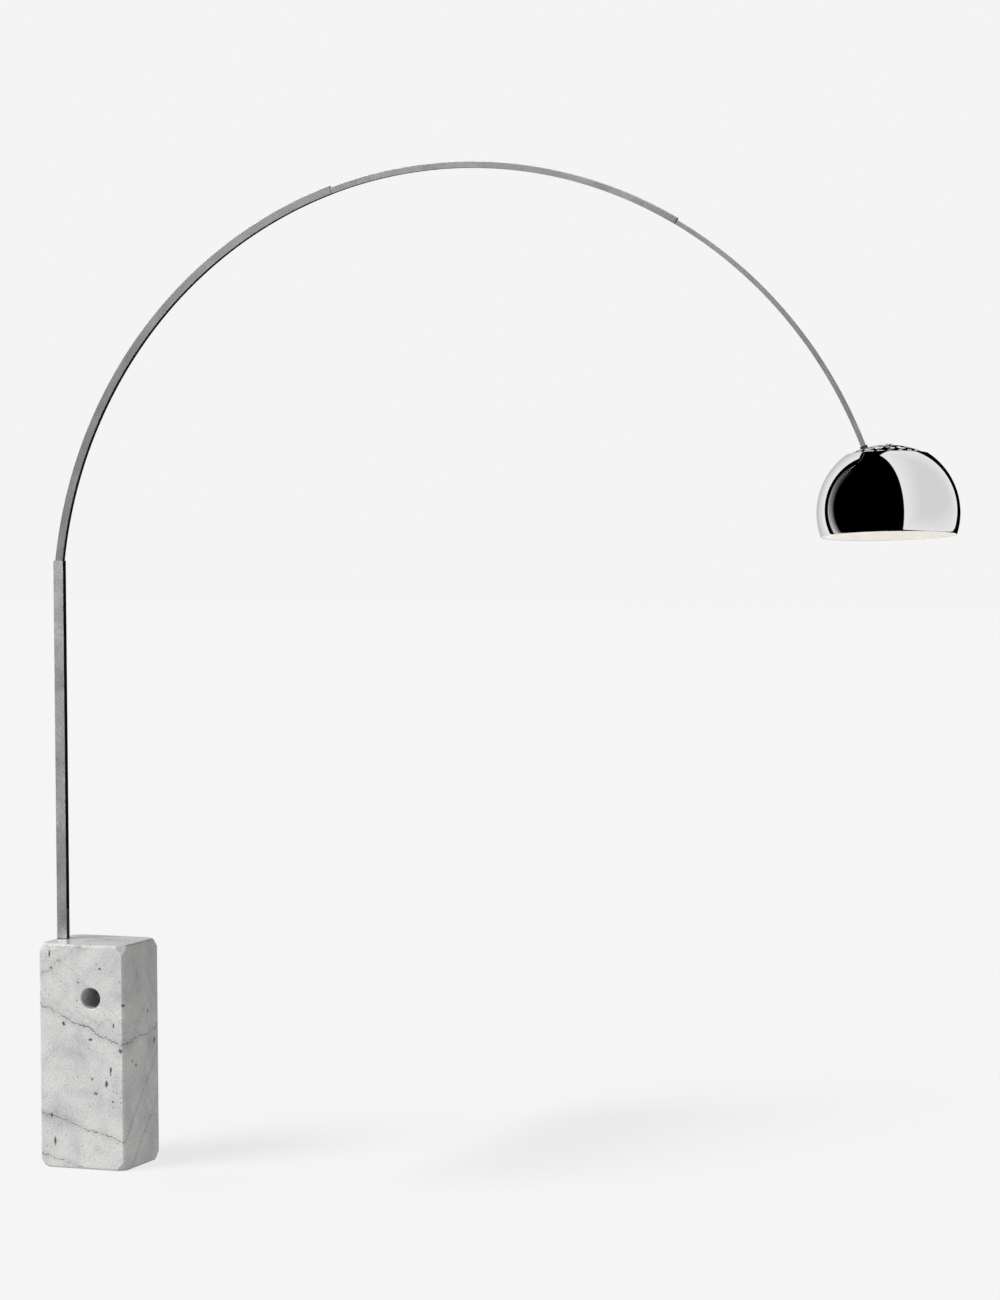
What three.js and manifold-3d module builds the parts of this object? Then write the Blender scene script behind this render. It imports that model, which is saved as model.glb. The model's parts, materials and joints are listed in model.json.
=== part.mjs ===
// Arc floor lamp: a marble block, a steel upright and an arc of three telescoping steel channels
// that carries a perforated cap and a round, tilting bowl 2 m out from the upright.
// Millimetres, +Z up. Origin: centre of the marble block's underside. +X: from upright to shade.
import * as THREE from 'three';
import { ConvexGeometry } from 'three/addons/geometries/ConvexGeometry.js';
import { mergeVertices } from 'three/addons/utils/BufferGeometryUtils.js';
import Module from 'manifold-3d';

const wasm = await Module();
wasm.setup();

// ---------------------------------------------------------------- driving dimensions

const GAP = 0.3; // left between pieces that touch
const PASS = 2; // how far a cutter runs past the surface it cuts

const BLOCK = { width: 226, depth: 192, height: 545, chamfer: 4.5, corner: 25 };
const LIFT_HOLE = { x: 25.5, z: 415, radius: 25, flare: 2.5 };
const ROD_HOLE_RADIUS = 7;
const RECESS = { radius: 13, height: 24 };
const OUTLET = { width: 8, height: 8 };

const UPRIGHT = { x: -95.3, across: 26, thick: 16.4, wall: 1.2, top: 1467 };
const FOOT_GASKET = 1; // thickness
const FOOT_BLOCK_HEIGHT = 72;
const ROD = { radius: 5, bore: 2.7, bottom: 12, rise: 45 };
const WASHER = { radius: 10.5, thick: 2 };
const TIE_NUT = { acrossFlats: 17, height: 7 };

const ARC = { x: 948, z: 1340.5, radius: 1059.5 }; // centre and outer radius of the lower section
const WALL = 1.2; // arc channels
const STEP = 4.5; // from one section's outer face to the next
const ARC_DEPTH = 19.5; // outer face of the lower section to the open edge of all three
const SECTION_WIDTHS = [13.4, 10.3, 7.2];
const MOUTHS = [107.7, 59.4, 20.56]; // degrees about the arc's centre, from +X
const TAIL_LAP = 7; // degrees of a section that stay inside the one before
const TRAVEL = 15; // degrees each section slides
const TAIL_STRAIGHT = 75; // straight end of the lower section, inside the upright

const GUIDE = { from: 0.2, to: 2.7, hole: 1.5 }; // degrees behind the mouth
const SHOE = { from: 2.9, to: 5.2, rivet: 4.05 };
const CLAMP = { head: 3, headDepth: 0.9, shanks: [2, 1.4], nut: 2.5, nutLength: 14 };
const SLOT_WIDTH = 4.6;

const LEAD_RADIUS = 2;
const LEAD_DEPTH = 16.2; // lead's centre below the lower section's outer face

const SHADE = { x: 1976, z: 1578.5, radius: 160, wall: 1.5, neck: 91, rimDrop: 52 };
const SHADE_TILT = -2.3; // degrees about Y, as it stands
const SHADE_ROLL = -4.3; // degrees about X, as it stands
const SEAT = { outer: 157.9, inner: 157.1, from: 36.5, to: 46 };
const CAP = { skirt: 156.5, domeRadius: 190, apex: 151.9, wall: 1.2, skirtEnd: 52, hole: 10 };
const CAP_RINGS = [[24.5, 6], [49, 12], [73.5, 18]]; // radius, number of holes
const CAP_PHASE = -70; // degrees, direction of the first hole of every ring
const CAP_NUT = { radius: 9.5, topRadius: 8, height: 1.8 };
const NIPPLE = { radius: 5, bore: 3, top: 153.9, bottom: 106 };
const HOLDER = { radius: 20.5, inner: 14.6, top: 112, bottom: 62, roof: 7 };
const BULB = { cap: 13.2, radius: 30, widest: 16, wall: 1.2 };

const ROUND = 20; // sides of small round pieces
const SHADE_SIDES = 48;
const SHADE_STEPS = 9; // from neck to rim
const HOLE_SIDES = 10;
const CAP_HOLE_SIDES = 8;
const ARC_DIVISIONS = 16;

// ---------------------------------------------------------------- finishes

const finish = (color, roughness, metalness) => new THREE.MeshStandardMaterial({ color, roughness, metalness });
const MARBLE = finish('#e2e1dc', 0.25, 0);
const SATIN_STEEL = finish('#b4b4b2', 0.38, 1);
const ZINC_STEEL = finish('#8f9296', 0.45, 1);
const POLISHED_ALUMINIUM = finish('#d7d8da', 0.08, 1);
const BLACK_NYLON = finish('#17171a', 0.6, 0);
const BLACK_RUBBER = finish('#1b1b1c', 0.75, 0);
const FELT = finish('#4a4a4a', 0.95, 0);
const BLACK_LEAD = finish('#111112', 0.55, 0);
const BRASS = finish('#b89a5a', 0.35, 1);
const OPAL_GLASS = finish('#f4f1ea', 0.3, 0);

// ---------------------------------------------------------------- helpers

const rad = THREE.MathUtils.degToRad;
const lamp = new THREE.Group();

// Closed mesh with shared vertices and no triangle that has lost its area.
function weld(geometry) {
  const bare = geometry.clone();
  bare.deleteAttribute('normal');
  bare.deleteAttribute('uv');
  const welded = mergeVertices(bare, 1e-4);
  const index = welded.getIndex().array;
  const kept = [];
  for (let i = 0; i < index.length; i += 3) {
    const [a, b, c] = index.slice(i, i + 3);
    if (a !== b && b !== c && c !== a) kept.push(a, b, c);
  }
  welded.setIndex(kept);
  return welded;
}

function toSolid(geometry) {
  const welded = weld(geometry);
  const vertProperties = new Float32Array(welded.getAttribute('position').array);
  const triVerts = new Uint32Array(welded.getIndex().array);
  return new wasm.Manifold(new wasm.Mesh({ numProp: 3, vertProperties, triVerts }));
}

function toGeometry(solid) {
  const { vertProperties, triVerts } = solid.getMesh();
  const geometry = new THREE.BufferGeometry();
  geometry.setAttribute('position', new THREE.BufferAttribute(vertProperties, 3));
  geometry.setIndex(new THREE.BufferAttribute(triVerts, 1));
  geometry.computeVertexNormals();
  return geometry;
}

function cut(geometry, ...cutters) {
  const body = cutters.reduce((solid, cutter) => solid.subtract(toSolid(cutter)), toSolid(geometry));
  return toGeometry(body);
}

function join(geometry, other) {
  return toGeometry(toSolid(geometry).add(toSolid(other)));
}

function place(parent, name, geometry, material) {
  const mesh = new THREE.Mesh(geometry, material);
  mesh.name = name;
  parent.add(mesh);
  return mesh;
}

function box(x0, x1, y0, y1, z0, z1) {
  const geometry = new THREE.BoxGeometry(x1 - x0, y1 - y0, z1 - z0);
  return geometry.translate((x0 + x1) / 2, (y0 + y1) / 2, (z0 + z1) / 2);
}

// Round bar along Z.
function bar(radius, z0, z1, sides = ROUND) {
  const geometry = new THREE.CylinderGeometry(radius, radius, z1 - z0, sides);
  return geometry.rotateX(Math.PI / 2).translate(0, 0, (z0 + z1) / 2);
}

// Solid of revolution about Z from [radius, z] points, listed anticlockwise round the material.
function turned(points, sides = ROUND) {
  const profile = points.map(([r, z]) => new THREE.Vector2(r, z));
  return weld(new THREE.LatheGeometry(profile, sides).rotateX(Math.PI / 2));
}

// Ring or sleeve about Z.
function sleeve(outer, inner, z0, z1, sides = ROUND) {
  return turned([[inner, z0], [outer, z0], [outer, z1], [inner, z1], [inner, z0]], sides);
}

// Closed outline in the XZ plane, extruded evenly to both sides of y = 0.
function plate(shape, width, curveSegments = ARC_DIVISIONS) {
  const geometry = new THREE.ExtrudeGeometry(shape, { depth: width, bevelEnabled: false, curveSegments });
  return geometry.rotateX(Math.PI / 2).translate(0, width / 2, 0);
}

// Band of the arc between two depths below its outer face and two angles in degrees.
function bandShape(outerDepth, innerDepth, from, to) {
  const shape = new THREE.Shape();
  shape.absarc(ARC.x, ARC.z, ARC.radius - outerDepth, rad(from), rad(to), false);
  shape.absarc(ARC.x, ARC.z, ARC.radius - innerDepth, rad(to), rad(from), true);
  return shape;
}

// Frame on the arc: its Z points away from the arc's centre, its origin is on the outer face.
function onArc(degrees) {
  const frame = new THREE.Group();
  const angle = rad(degrees);
  frame.position.set(ARC.x + ARC.radius * Math.cos(angle), 0, ARC.z + ARC.radius * Math.sin(angle));
  frame.rotation.y = Math.PI / 2 - rad(degrees);
  lamp.add(frame);
  return frame;
}

// Small round cutter through the web of an arc channel, along the frame of onArc(degrees).
function radialCutter(degrees, radius, fromDepth, toDepth) {
  const angle = rad(degrees);
  const geometry = bar(radius, -toDepth, -fromDepth, HOLE_SIDES).rotateY(Math.PI / 2 - angle);
  return geometry.translate(ARC.x + ARC.radius * Math.cos(angle), 0, ARC.z + ARC.radius * Math.sin(angle));
}

// Round lead of six sides along a curve.
function lead(name, curve, steps) {
  const section = new THREE.Shape().absarc(0, 0, LEAD_RADIUS, 0, 2 * Math.PI, false);
  const settings = { extrudePath: curve, steps, curveSegments: 3, bevelEnabled: false };
  return place(lamp, name, weld(new THREE.ExtrudeGeometry(section, settings)), BLACK_LEAD);
}

// ---------------------------------------------------------------- marble block

// Box with every edge chamfered and a larger flat across each of its eight corners.
function blockBody() {
  const { width, depth, height, chamfer, corner } = BLOCK;
  const points = [];
  const insets = [[0, 1, 2], [0, 2, 1], [1, 0, 2], [2, 0, 1], [1, 2, 0], [2, 1, 0]];
  const distance = [0, chamfer, corner - chamfer];
  for (const sx of [-1, 1]) {
    for (const sy of [-1, 1]) {
      for (const sz of [-1, 1]) {
        for (const [a, b, c] of insets) {
          const x = sx * (width / 2 - distance[a]);
          const y = sy * (depth / 2 - distance[b]);
          const z = height / 2 + sz * (height / 2 - distance[c]);
          points.push(new THREE.Vector3(x, y, z));
        }
      }
    }
  }
  return new ConvexGeometry(points);
}

// Spool-shaped cutter for the lifting hole: straight bore with a flared mouth at each face.
function liftHoleCutter() {
  const { radius, flare, x, z } = LIFT_HOLE;
  const half = BLOCK.depth / 2;
  const wide = radius + flare + PASS;
  const profile = [
    [0, -half - PASS], [wide, -half - PASS], [radius, -half + flare],
    [radius, half - flare], [wide, half + PASS], [0, half + PASS],
  ];
  return turned(profile, 40).rotateX(Math.PI / 2).translate(x, 0, z);
}

const face = -BLOCK.width / 2;
const rodHole = bar(ROD_HOLE_RADIUS, -PASS, BLOCK.height + PASS).translate(UPRIGHT.x, 0, 0);
const recess = bar(RECESS.radius, -PASS, RECESS.height).translate(UPRIGHT.x, 0, 0);
const halfOutlet = OUTLET.width / 2;
const groove = box(face - PASS, UPRIGHT.x, -halfOutlet, halfOutlet, -PASS, OUTLET.height);
place(lamp, 'marble_block', cut(blockBody(), liftHoleCutter(), rodHole, recess, groove), MARBLE);

const grommetRound = { outer: halfOutlet - GAP, bore: LEAD_RADIUS + GAP, z: OUTLET.height / 2 + 0.1 };
const grommetLength = 4.6;
const grommet = sleeve(grommetRound.outer, grommetRound.bore, 0, grommetLength);
place(lamp, 'outlet_grommet', grommet.rotateY(Math.PI / 2).translate(face, 0, grommetRound.z), BLACK_RUBBER);

// ---------------------------------------------------------------- upright and its fixing

const foot = BLOCK.height + GAP;
const uprightBottom = foot + FOOT_GASKET + GAP;
const halfAcross = UPRIGHT.across / 2;
const halfThick = UPRIGHT.thick / 2;
const insideThick = halfThick - UPRIGHT.wall;
const uprightBack = UPRIGHT.x - halfAcross;
const uprightWeb = uprightBack + UPRIGHT.wall;

const uprightOpen = uprightBack + UPRIGHT.across;
const gasketBody = box(uprightBack, uprightOpen, -halfThick, halfThick, foot, foot + FOOT_GASKET);
const gasketHole = bar(ROD_HOLE_RADIUS, foot - PASS, foot + FOOT_GASKET + PASS).translate(UPRIGHT.x, 0, 0);
place(lamp, 'foot_gasket', cut(gasketBody, gasketHole), BLACK_RUBBER);

// Round cutter along X through the back wall of the upright.
function backCutter(radius, z, depth) {
  return bar(radius, -PASS, depth, HOLE_SIDES).rotateY(Math.PI / 2).translate(uprightBack, 0, z);
}

const SCREW = { head: 3.6, headHeight: 1.9, shank: 1.9, hole: 2.3 };
const footScrewHeights = [uprightBottom + 18, uprightBottom + 52];
const arcScrewHeights = [1364, 1392];

const uprightBody = box(uprightBack, uprightOpen, -halfThick, halfThick, uprightBottom, UPRIGHT.top);
const uprightInside = box(uprightWeb, uprightOpen + PASS, -insideThick, insideThick,
  uprightBottom - PASS, UPRIGHT.top + PASS);
const backHoles = [...footScrewHeights, ...arcScrewHeights].map((z) => backCutter(SCREW.hole, z, PASS * 2));
place(lamp, 'upright_channel', cut(uprightBody, uprightInside, ...backHoles), SATIN_STEEL);

const blockTop = uprightBottom + FOOT_BLOCK_HEIGHT;
const footBody = box(uprightWeb + GAP, UPRIGHT.x + halfAcross - 0.5, GAP - insideThick, insideThick - GAP,
  uprightBottom, blockTop);
const rodTop = uprightBottom + ROD.rise;
const rodSocket = bar(ROD.radius + GAP, uprightBottom - PASS, rodTop + 1).translate(UPRIGHT.x, 0, 0);
const leadBore = bar(LEAD_RADIUS + 1, rodTop, blockTop + PASS).translate(UPRIGHT.x, 0, 0);
const screwSockets = footScrewHeights.map((z) => backCutter(SCREW.hole, z, 8));
place(lamp, 'foot_block', cut(footBody, rodSocket, leadBore, ...screwSockets), ZINC_STEEL);

// Hollow threaded rod, pulled down by a nut and washer in the recess under the block.
const rodGeometry = sleeve(ROD.radius, ROD.bore, ROD.bottom, rodTop);
place(lamp, 'tie_rod', rodGeometry, ZINC_STEEL).position.x = UPRIGHT.x;
const washerTop = RECESS.height - GAP;
const washer = sleeve(WASHER.radius, ROD.radius + GAP, washerTop - WASHER.thick, washerTop);
place(lamp, 'tie_washer', washer, ZINC_STEEL).position.x = UPRIGHT.x;

// Hexagonal nut of the given size across its flats.
function hexNut(acrossFlats, bore, z0, z1) {
  const radius = acrossFlats / Math.sqrt(3);
  const hexagon = new THREE.CylinderGeometry(radius, radius, z1 - z0, 6);
  return cut(hexagon.rotateX(Math.PI / 2).translate(0, 0, (z0 + z1) / 2), bar(bore, z0 - PASS, z1 + PASS));
}
const nutTop = washerTop - WASHER.thick - GAP;
const tieNut = hexNut(TIE_NUT.acrossFlats, ROD.radius + GAP, nutTop - TIE_NUT.height, nutTop);
place(lamp, 'tie_nut', tieNut, ZINC_STEEL).position.x = UPRIGHT.x;

// Pan-head screw along +X, head outside the back wall of the upright.
function backScrew(name, z, length) {
  const { head, headHeight, shank } = SCREW;
  const profile = [[0, -headHeight - GAP], [head * 0.7, -headHeight - GAP], [head, -headHeight * 0.5 - GAP],
    [head, -GAP], [shank, -GAP], [shank, length], [0, length]];
  const mesh = place(lamp, name, turned(profile, 16), ZINC_STEEL);
  mesh.position.set(uprightBack, 0, z);
  mesh.rotation.y = Math.PI / 2;
}
footScrewHeights.forEach((z, i) => backScrew(`foot_screw_${i + 1}`, z, 7));
arcScrewHeights.forEach((z, i) => backScrew(`arc_foot_screw_${i + 1}`, z, 6.6));

// ---------------------------------------------------------------- arc sections

// The lower section leans at the upright's top; a tighter bend stands it upright inside.
const lean = Math.asin((UPRIGHT.top - ARC.z) / ARC.radius);
const outerAtTop = ARC.x - ARC.radius * Math.cos(lean);
const tailOuter = uprightWeb + 0.4;
const bendRadius = (outerAtTop - tailOuter) / (1 - Math.cos(lean));
const bendX = ARC.x - (ARC.radius - bendRadius) * Math.cos(lean);
const bendZ = ARC.z + (ARC.radius - bendRadius) * Math.sin(lean);
const tailBottom = bendZ - TAIL_STRAIGHT;

// Outline of the lower section between two depths: arc, bend and straight tail.
function lowerShape(outerDepth, innerDepth, from, runOut) {
  const top = Math.PI - lean;
  const shape = new THREE.Shape();
  shape.absarc(ARC.x, ARC.z, ARC.radius - outerDepth, rad(from), top, false);
  shape.absarc(bendX, bendZ, bendRadius - outerDepth, top, Math.PI, false);
  shape.lineTo(bendX - bendRadius + outerDepth, tailBottom - runOut);
  shape.lineTo(bendX - bendRadius + innerDepth, tailBottom - runOut);
  shape.absarc(bendX, bendZ, bendRadius - innerDepth, Math.PI, top, true);
  shape.absarc(ARC.x, ARC.z, ARC.radius - innerDepth, top, rad(from), true);
  return shape;
}

const pastEnd = 0.3; // degrees, how far a channel's cutter runs past its ends
const openSide = ARC_DEPTH + PASS;

const lowerHoles = [
  radialCutter(MOUTHS[0] + GUIDE.hole, CLAMP.head + GAP, -PASS, WALL + 1),
  ...arcScrewHeights.map((z) => backCutter(SCREW.hole, z, PASS * 2 + 1)),
];
const lowerBody = plate(lowerShape(0, ARC_DEPTH, MOUTHS[0], 0), SECTION_WIDTHS[0]);
const lowerInside = plate(lowerShape(WALL, openSide, MOUTHS[0] - pastEnd, PASS), SECTION_WIDTHS[0] - 2 * WALL);
place(lamp, 'arc_lower', cut(lowerBody, lowerInside, ...lowerHoles), SATIN_STEEL);

// Channel of the middle or end section, with the slot that its clamp screw runs in.
function innerSection(name, k) {
  const outerDepth = k * STEP;
  const tail = MOUTHS[k - 1] + TAIL_LAP;
  const clampAt = MOUTHS[k - 1] + GUIDE.hole;
  const slotEnd = 0.25; // degrees of slot past the screw's centre at both ends of its travel
  const body = plate(bandShape(outerDepth, ARC_DEPTH, MOUTHS[k], tail), SECTION_WIDTHS[k]);
  const inside = bandShape(outerDepth + WALL, openSide, MOUTHS[k] - pastEnd, tail + pastEnd);
  const webCut = [outerDepth - PASS, outerDepth + WALL + 1];
  const slot = bandShape(...webCut, clampAt - TRAVEL - slotEnd, clampAt + slotEnd);
  const cutters = [
    plate(inside, SECTION_WIDTHS[k] - 2 * WALL),
    plate(slot, SLOT_WIDTH, 8),
    radialCutter(MOUTHS[k - 1] + SHOE.rivet, 1.9, ...webCut),
  ];
  if (k === 1) {
    cutters.push(radialCutter(MOUTHS[1] + GUIDE.hole, CLAMP.head + GAP, ...webCut));
  }
  place(lamp, name, cut(body, ...cutters), SATIN_STEEL);
}
innerSection('arc_middle', 1);
innerSection('arc_end', 2);

// Nylon guide, clamp screw and nut at the mouth of section k; nylon shoe and rivet on the next one's tail.
function slidingJoint(k, outerName, innerName) {
  const mouth = MOUTHS[k];
  const webInside = k * STEP + WALL;
  const nextOuter = (k + 1) * STEP;
  const width = SECTION_WIDTHS[k] - 2 * WALL - 2 * GAP;
  const shank = CLAMP.shanks[k];
  const guideShape = bandShape(webInside + GAP, nextOuter - GAP, mouth + GUIDE.from, mouth + GUIDE.to);
  const guideBody = plate(guideShape, width, 2);
  const guideHole = radialCutter(mouth + GUIDE.hole, shank + GAP, webInside - PASS, nextOuter + PASS);
  place(lamp, `${outerName}_mouth_guide`, cut(guideBody, guideHole), BLACK_NYLON);

  const nutTopDepth = nextOuter + WALL + GAP;
  const nutBottomDepth = nutTopDepth + CLAMP.nut;
  const screwTop = k * STEP + 0.1;
  const screwProfile = [
    [0, -nutBottomDepth - 0.2], [shank, -nutBottomDepth - 0.2], [shank, -screwTop - CLAMP.headDepth],
    [CLAMP.head, -screwTop - CLAMP.headDepth], [CLAMP.head, -screwTop], [0, -screwTop],
  ];
  place(onArc(mouth + GUIDE.hole), `${outerName}_clamp_screw`, turned(screwProfile, 16), ZINC_STEEL);
  const nutWidth = SECTION_WIDTHS[k + 1] - 2 * WALL - 2 * GAP;
  const nutHalf = CLAMP.nutLength / 2;
  const nutBody = box(-nutHalf, nutHalf, -nutWidth / 2, nutWidth / 2, -nutBottomDepth, -nutTopDepth);
  const nut = cut(nutBody, bar(shank + GAP, -nutBottomDepth - PASS, -nutTopDepth + PASS, HOLE_SIDES));
  place(onArc(mouth + GUIDE.hole), `${outerName}_clamp_nut`, nut, ZINC_STEEL);

  const shoeShape = bandShape(webInside + GAP, nextOuter - GAP, mouth + SHOE.from, mouth + SHOE.to);
  const seat = radialCutter(mouth + SHOE.rivet, 2.8, webInside - PASS, webInside + GAP + 1.2);
  const shoeHole = radialCutter(mouth + SHOE.rivet, 1.8, webInside - PASS, nextOuter + PASS);
  place(lamp, `${innerName}_tail_shoe`, cut(plate(shoeShape, width, 2), seat, shoeHole), BLACK_NYLON);
  const headBottom = webInside + 1.3;
  const rivetProfile = [
    [0, -nextOuter - WALL - 1.1], [2, -nextOuter - WALL - 1.1], [2, -nextOuter - WALL - GAP],
    [1.5, -nextOuter - WALL - GAP], [1.5, -headBottom], [2.5, -headBottom], [2.5, -webInside - 0.6],
    [0, -webInside - 0.6],
  ];
  place(onArc(mouth + SHOE.rivet), `${innerName}_tail_rivet`, turned(rivetProfile, HOLE_SIDES), ZINC_STEEL);
}
slidingJoint(0, 'lower', 'middle');
slidingJoint(1, 'middle', 'end');

// Tapped plate inside the lower section's tail, for the two screws through the upright's back.
const plateBack = tailOuter + WALL + GAP;
const NUT_PLATE = { thick: 4, half: 4.5, past: 10 };
const nutPlate = box(plateBack, plateBack + NUT_PLATE.thick, -NUT_PLATE.half, NUT_PLATE.half,
  arcScrewHeights[0] - NUT_PLATE.past, arcScrewHeights[1] + NUT_PLATE.past);
const plateHoles = arcScrewHeights.map((z) => backCutter(SCREW.hole, z, 12));
place(lamp, 'arc_foot_nut_plate', cut(nutPlate, ...plateHoles), ZINC_STEEL);

// Nylon wedge that fills the upright's top behind the leaning arc.
const wedgeHeight = 26;
const wedgeTop = UPRIGHT.top - 1;
const wedge = new THREE.Shape();
const bendAt = (z) => bendX - Math.sqrt(bendRadius ** 2 - (z - bendZ) ** 2) - GAP;
wedge.moveTo(uprightWeb + GAP, wedgeTop - wedgeHeight);
wedge.lineTo(bendAt(wedgeTop - wedgeHeight), wedgeTop - wedgeHeight);
wedge.lineTo(bendAt(wedgeTop - wedgeHeight / 2), wedgeTop - wedgeHeight / 2);
wedge.lineTo(bendAt(wedgeTop), wedgeTop);
wedge.lineTo(uprightWeb + GAP, wedgeTop);
wedge.closePath();
place(lamp, 'upright_top_wedge', plate(wedge, 2 * (insideThick - GAP)), BLACK_NYLON);

// ---------------------------------------------------------------- head, fixed to the end section

const head = new THREE.Group();
head.position.set(SHADE.x, 0, SHADE.z);
lamp.add(head);

// Points of a sphere about the shade's centre, by angle from the vertical in degrees.
function sphereArc(radius, from, to, steps) {
  return Array.from({ length: steps + 1 }, (_, i) => {
    const polar = rad(from + ((to - from) * i) / steps);
    return [radius * Math.sin(polar), radius * Math.cos(polar)];
  });
}

// Shallow dome from the axis hole out to where it meets the skirt sphere.
function domeArc(drop, fromRadius, toRadius, steps) {
  const curve = CAP.domeRadius - drop;
  const centre = CAP.apex - CAP.domeRadius;
  return Array.from({ length: steps + 1 }, (_, i) => {
    const r = fromRadius + ((toRadius - fromRadius) * i) / steps;
    return [r, centre + Math.sqrt(curve * curve - r * r)];
  });
}

const domeCentre = CAP.apex - CAP.domeRadius;
const meetCos = (CAP.domeRadius ** 2 - CAP.skirt ** 2 - domeCentre ** 2) / (-2 * CAP.skirt * domeCentre);
const meetRadius = CAP.skirt * Math.sin(Math.acos(meetCos));
const meetPolar = THREE.MathUtils.radToDeg(Math.acos(meetCos));
const skirtInner = CAP.skirt - CAP.wall;
const capHole = NIPPLE.radius + GAP;
const capProfile = [
  ...sphereArc(CAP.skirt, CAP.skirtEnd, meetPolar, 3),
  ...domeArc(0, capHole, meetRadius, 3).reverse().slice(1),
  ...domeArc(CAP.wall, capHole, meetRadius - CAP.wall, 3),
  ...sphereArc(skirtInner, meetPolar + 0.5, CAP.skirtEnd, 3),
];
capProfile.push(capProfile[0]);

const capHoles = CAP_RINGS.flatMap(([ringRadius, count]) => Array.from({ length: count }, (_, i) => {
  const angle = rad(CAP_PHASE + (360 * i) / count);
  const cutter = bar(CAP.hole, CAP.apex - 40, CAP.apex + PASS, CAP_HOLE_SIDES);
  return cutter.translate(ringRadius * Math.cos(angle), ringRadius * Math.sin(angle), 0);
}));

// Window in the cap for the arm, and the rubber grommet that lines it.
const windowMargin = 2.4;
const ARM_WINDOW = { outerDepth: 2 * STEP - windowMargin, innerDepth: ARC_DEPTH + windowMargin, width: 12 };
function armWindow(inset, from, to) {
  const shape = bandShape(ARM_WINDOW.outerDepth + inset, ARM_WINDOW.innerDepth - inset, from, to);
  return plate(shape, ARM_WINDOW.width - 2 * inset, 2).translate(-SHADE.x, 0, -SHADE.z);
}
place(head, 'perforated_cap', cut(turned(capProfile, SHADE_SIDES), ...capHoles, armWindow(0, 20, 23)),
  POLISHED_ALUMINIUM);
const grommetSlope = armWindow(GAP, 21.15, 21.75);
const armHole = plate(bandShape(2 * STEP - GAP, ARC_DEPTH + GAP, 20, 23), SECTION_WIDTHS[2] + 2 * GAP, 2);
place(head, 'arm_grommet', cut(grommetSlope, armHole.translate(-SHADE.x, 0, -SHADE.z)), BLACK_RUBBER);

const capNutFoot = CAP.apex + GAP;
const capNutTop = CAP.apex + CAP_NUT.height;
const capNut = turned([[capHole, capNutFoot], [CAP_NUT.radius, capNutFoot], [CAP_NUT.topRadius, capNutTop],
  [capHole, capNutTop], [capHole, capNutFoot]]);
place(head, 'cap_nut', capNut, ZINC_STEEL);
place(head, 'head_nipple', sleeve(NIPPLE.radius, NIPPLE.bore, NIPPLE.bottom, NIPPLE.top), BRASS);

// Folded strip: a tongue up into the end section, and a plate across to the nipple.
const BRACKET = { top: 122, thick: 3, width: 16, left: -46.3, right: 11, tongueFrom: 20.05, tongueTo: 22.3 };
const tongueDepth = 2 * STEP + WALL + GAP;
const tongue = plate(bandShape(tongueDepth, tongueDepth + 2.5, BRACKET.tongueFrom, BRACKET.tongueTo), 4.2, 4);
const strip = box(BRACKET.left, BRACKET.right, -BRACKET.width / 2, BRACKET.width / 2,
  BRACKET.top - BRACKET.thick, BRACKET.top);
const bracketBody = join(strip, tongue.translate(-SHADE.x, 0, -SHADE.z));
const bracketHole = bar(capHole, BRACKET.top - BRACKET.thick - PASS, BRACKET.top + PASS);
const bracketScrewAngles = [21.0, 21.95];
place(head, 'head_bracket', cut(bracketBody, bracketHole), ZINC_STEEL);

// Flat rivets that hold the tongue to the end section's web, set under the web.
bracketScrewAngles.forEach((degrees, i) => {
  const top = tongueDepth + 2.5 + GAP;
  const rivet = turned([[0, -top - 0.6], [1.6, -top - 0.6], [1.6, -top], [0, -top]], HOLE_SIDES);
  place(onArc(degrees), `bracket_rivet_${i + 1}`, rivet, ZINC_STEEL);
});

const lockNutTop = BRACKET.top - BRACKET.thick - GAP;
const LOCK_NUT = { acrossFlats: 15, height: 4 };
const lockNut = hexNut(LOCK_NUT.acrossFlats, capHole, lockNutTop - LOCK_NUT.height, lockNutTop);
place(head, 'nipple_lock_nut', lockNut, BRASS);

const holderInside = HOLDER.top - HOLDER.roof;
const holderProfile = [
  [HOLDER.inner, HOLDER.bottom], [HOLDER.radius - 2, HOLDER.bottom], [HOLDER.radius, HOLDER.bottom + 26],
  [HOLDER.radius, HOLDER.top - 6], [HOLDER.radius - 5, HOLDER.top], [capHole, HOLDER.top],
  [capHole, holderInside], [HOLDER.inner, holderInside], [HOLDER.inner, HOLDER.bottom],
];
place(head, 'lampholder_body', turned(holderProfile), BLACK_NYLON);
const RING = { radius: 25.5, from: 27, to: 32 }; // heights above the lampholder's foot
const ring = sleeve(RING.radius, HOLDER.radius + GAP, HOLDER.bottom + RING.from, HOLDER.bottom + RING.to);
place(head, 'lampholder_ring', ring, BLACK_NYLON);

const bulbCapTop = 86;
const bulbNeck = HOLDER.bottom - GAP;
const shellInner = BULB.cap - BULB.wall;
const bulbCap = [
  [shellInner, HOLDER.bottom], [BULB.cap, HOLDER.bottom], [BULB.cap, bulbCapTop], [4.5, bulbCapTop + 3],
  [0, bulbCapTop + 3], [0, bulbCapTop + 3 - BULB.wall], [4, bulbCapTop + 3 - BULB.wall],
  [shellInner, bulbCapTop - BULB.wall], [shellInner, HOLDER.bottom],
];
place(head, 'bulb_cap', turned(bulbCap), BRASS);

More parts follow.
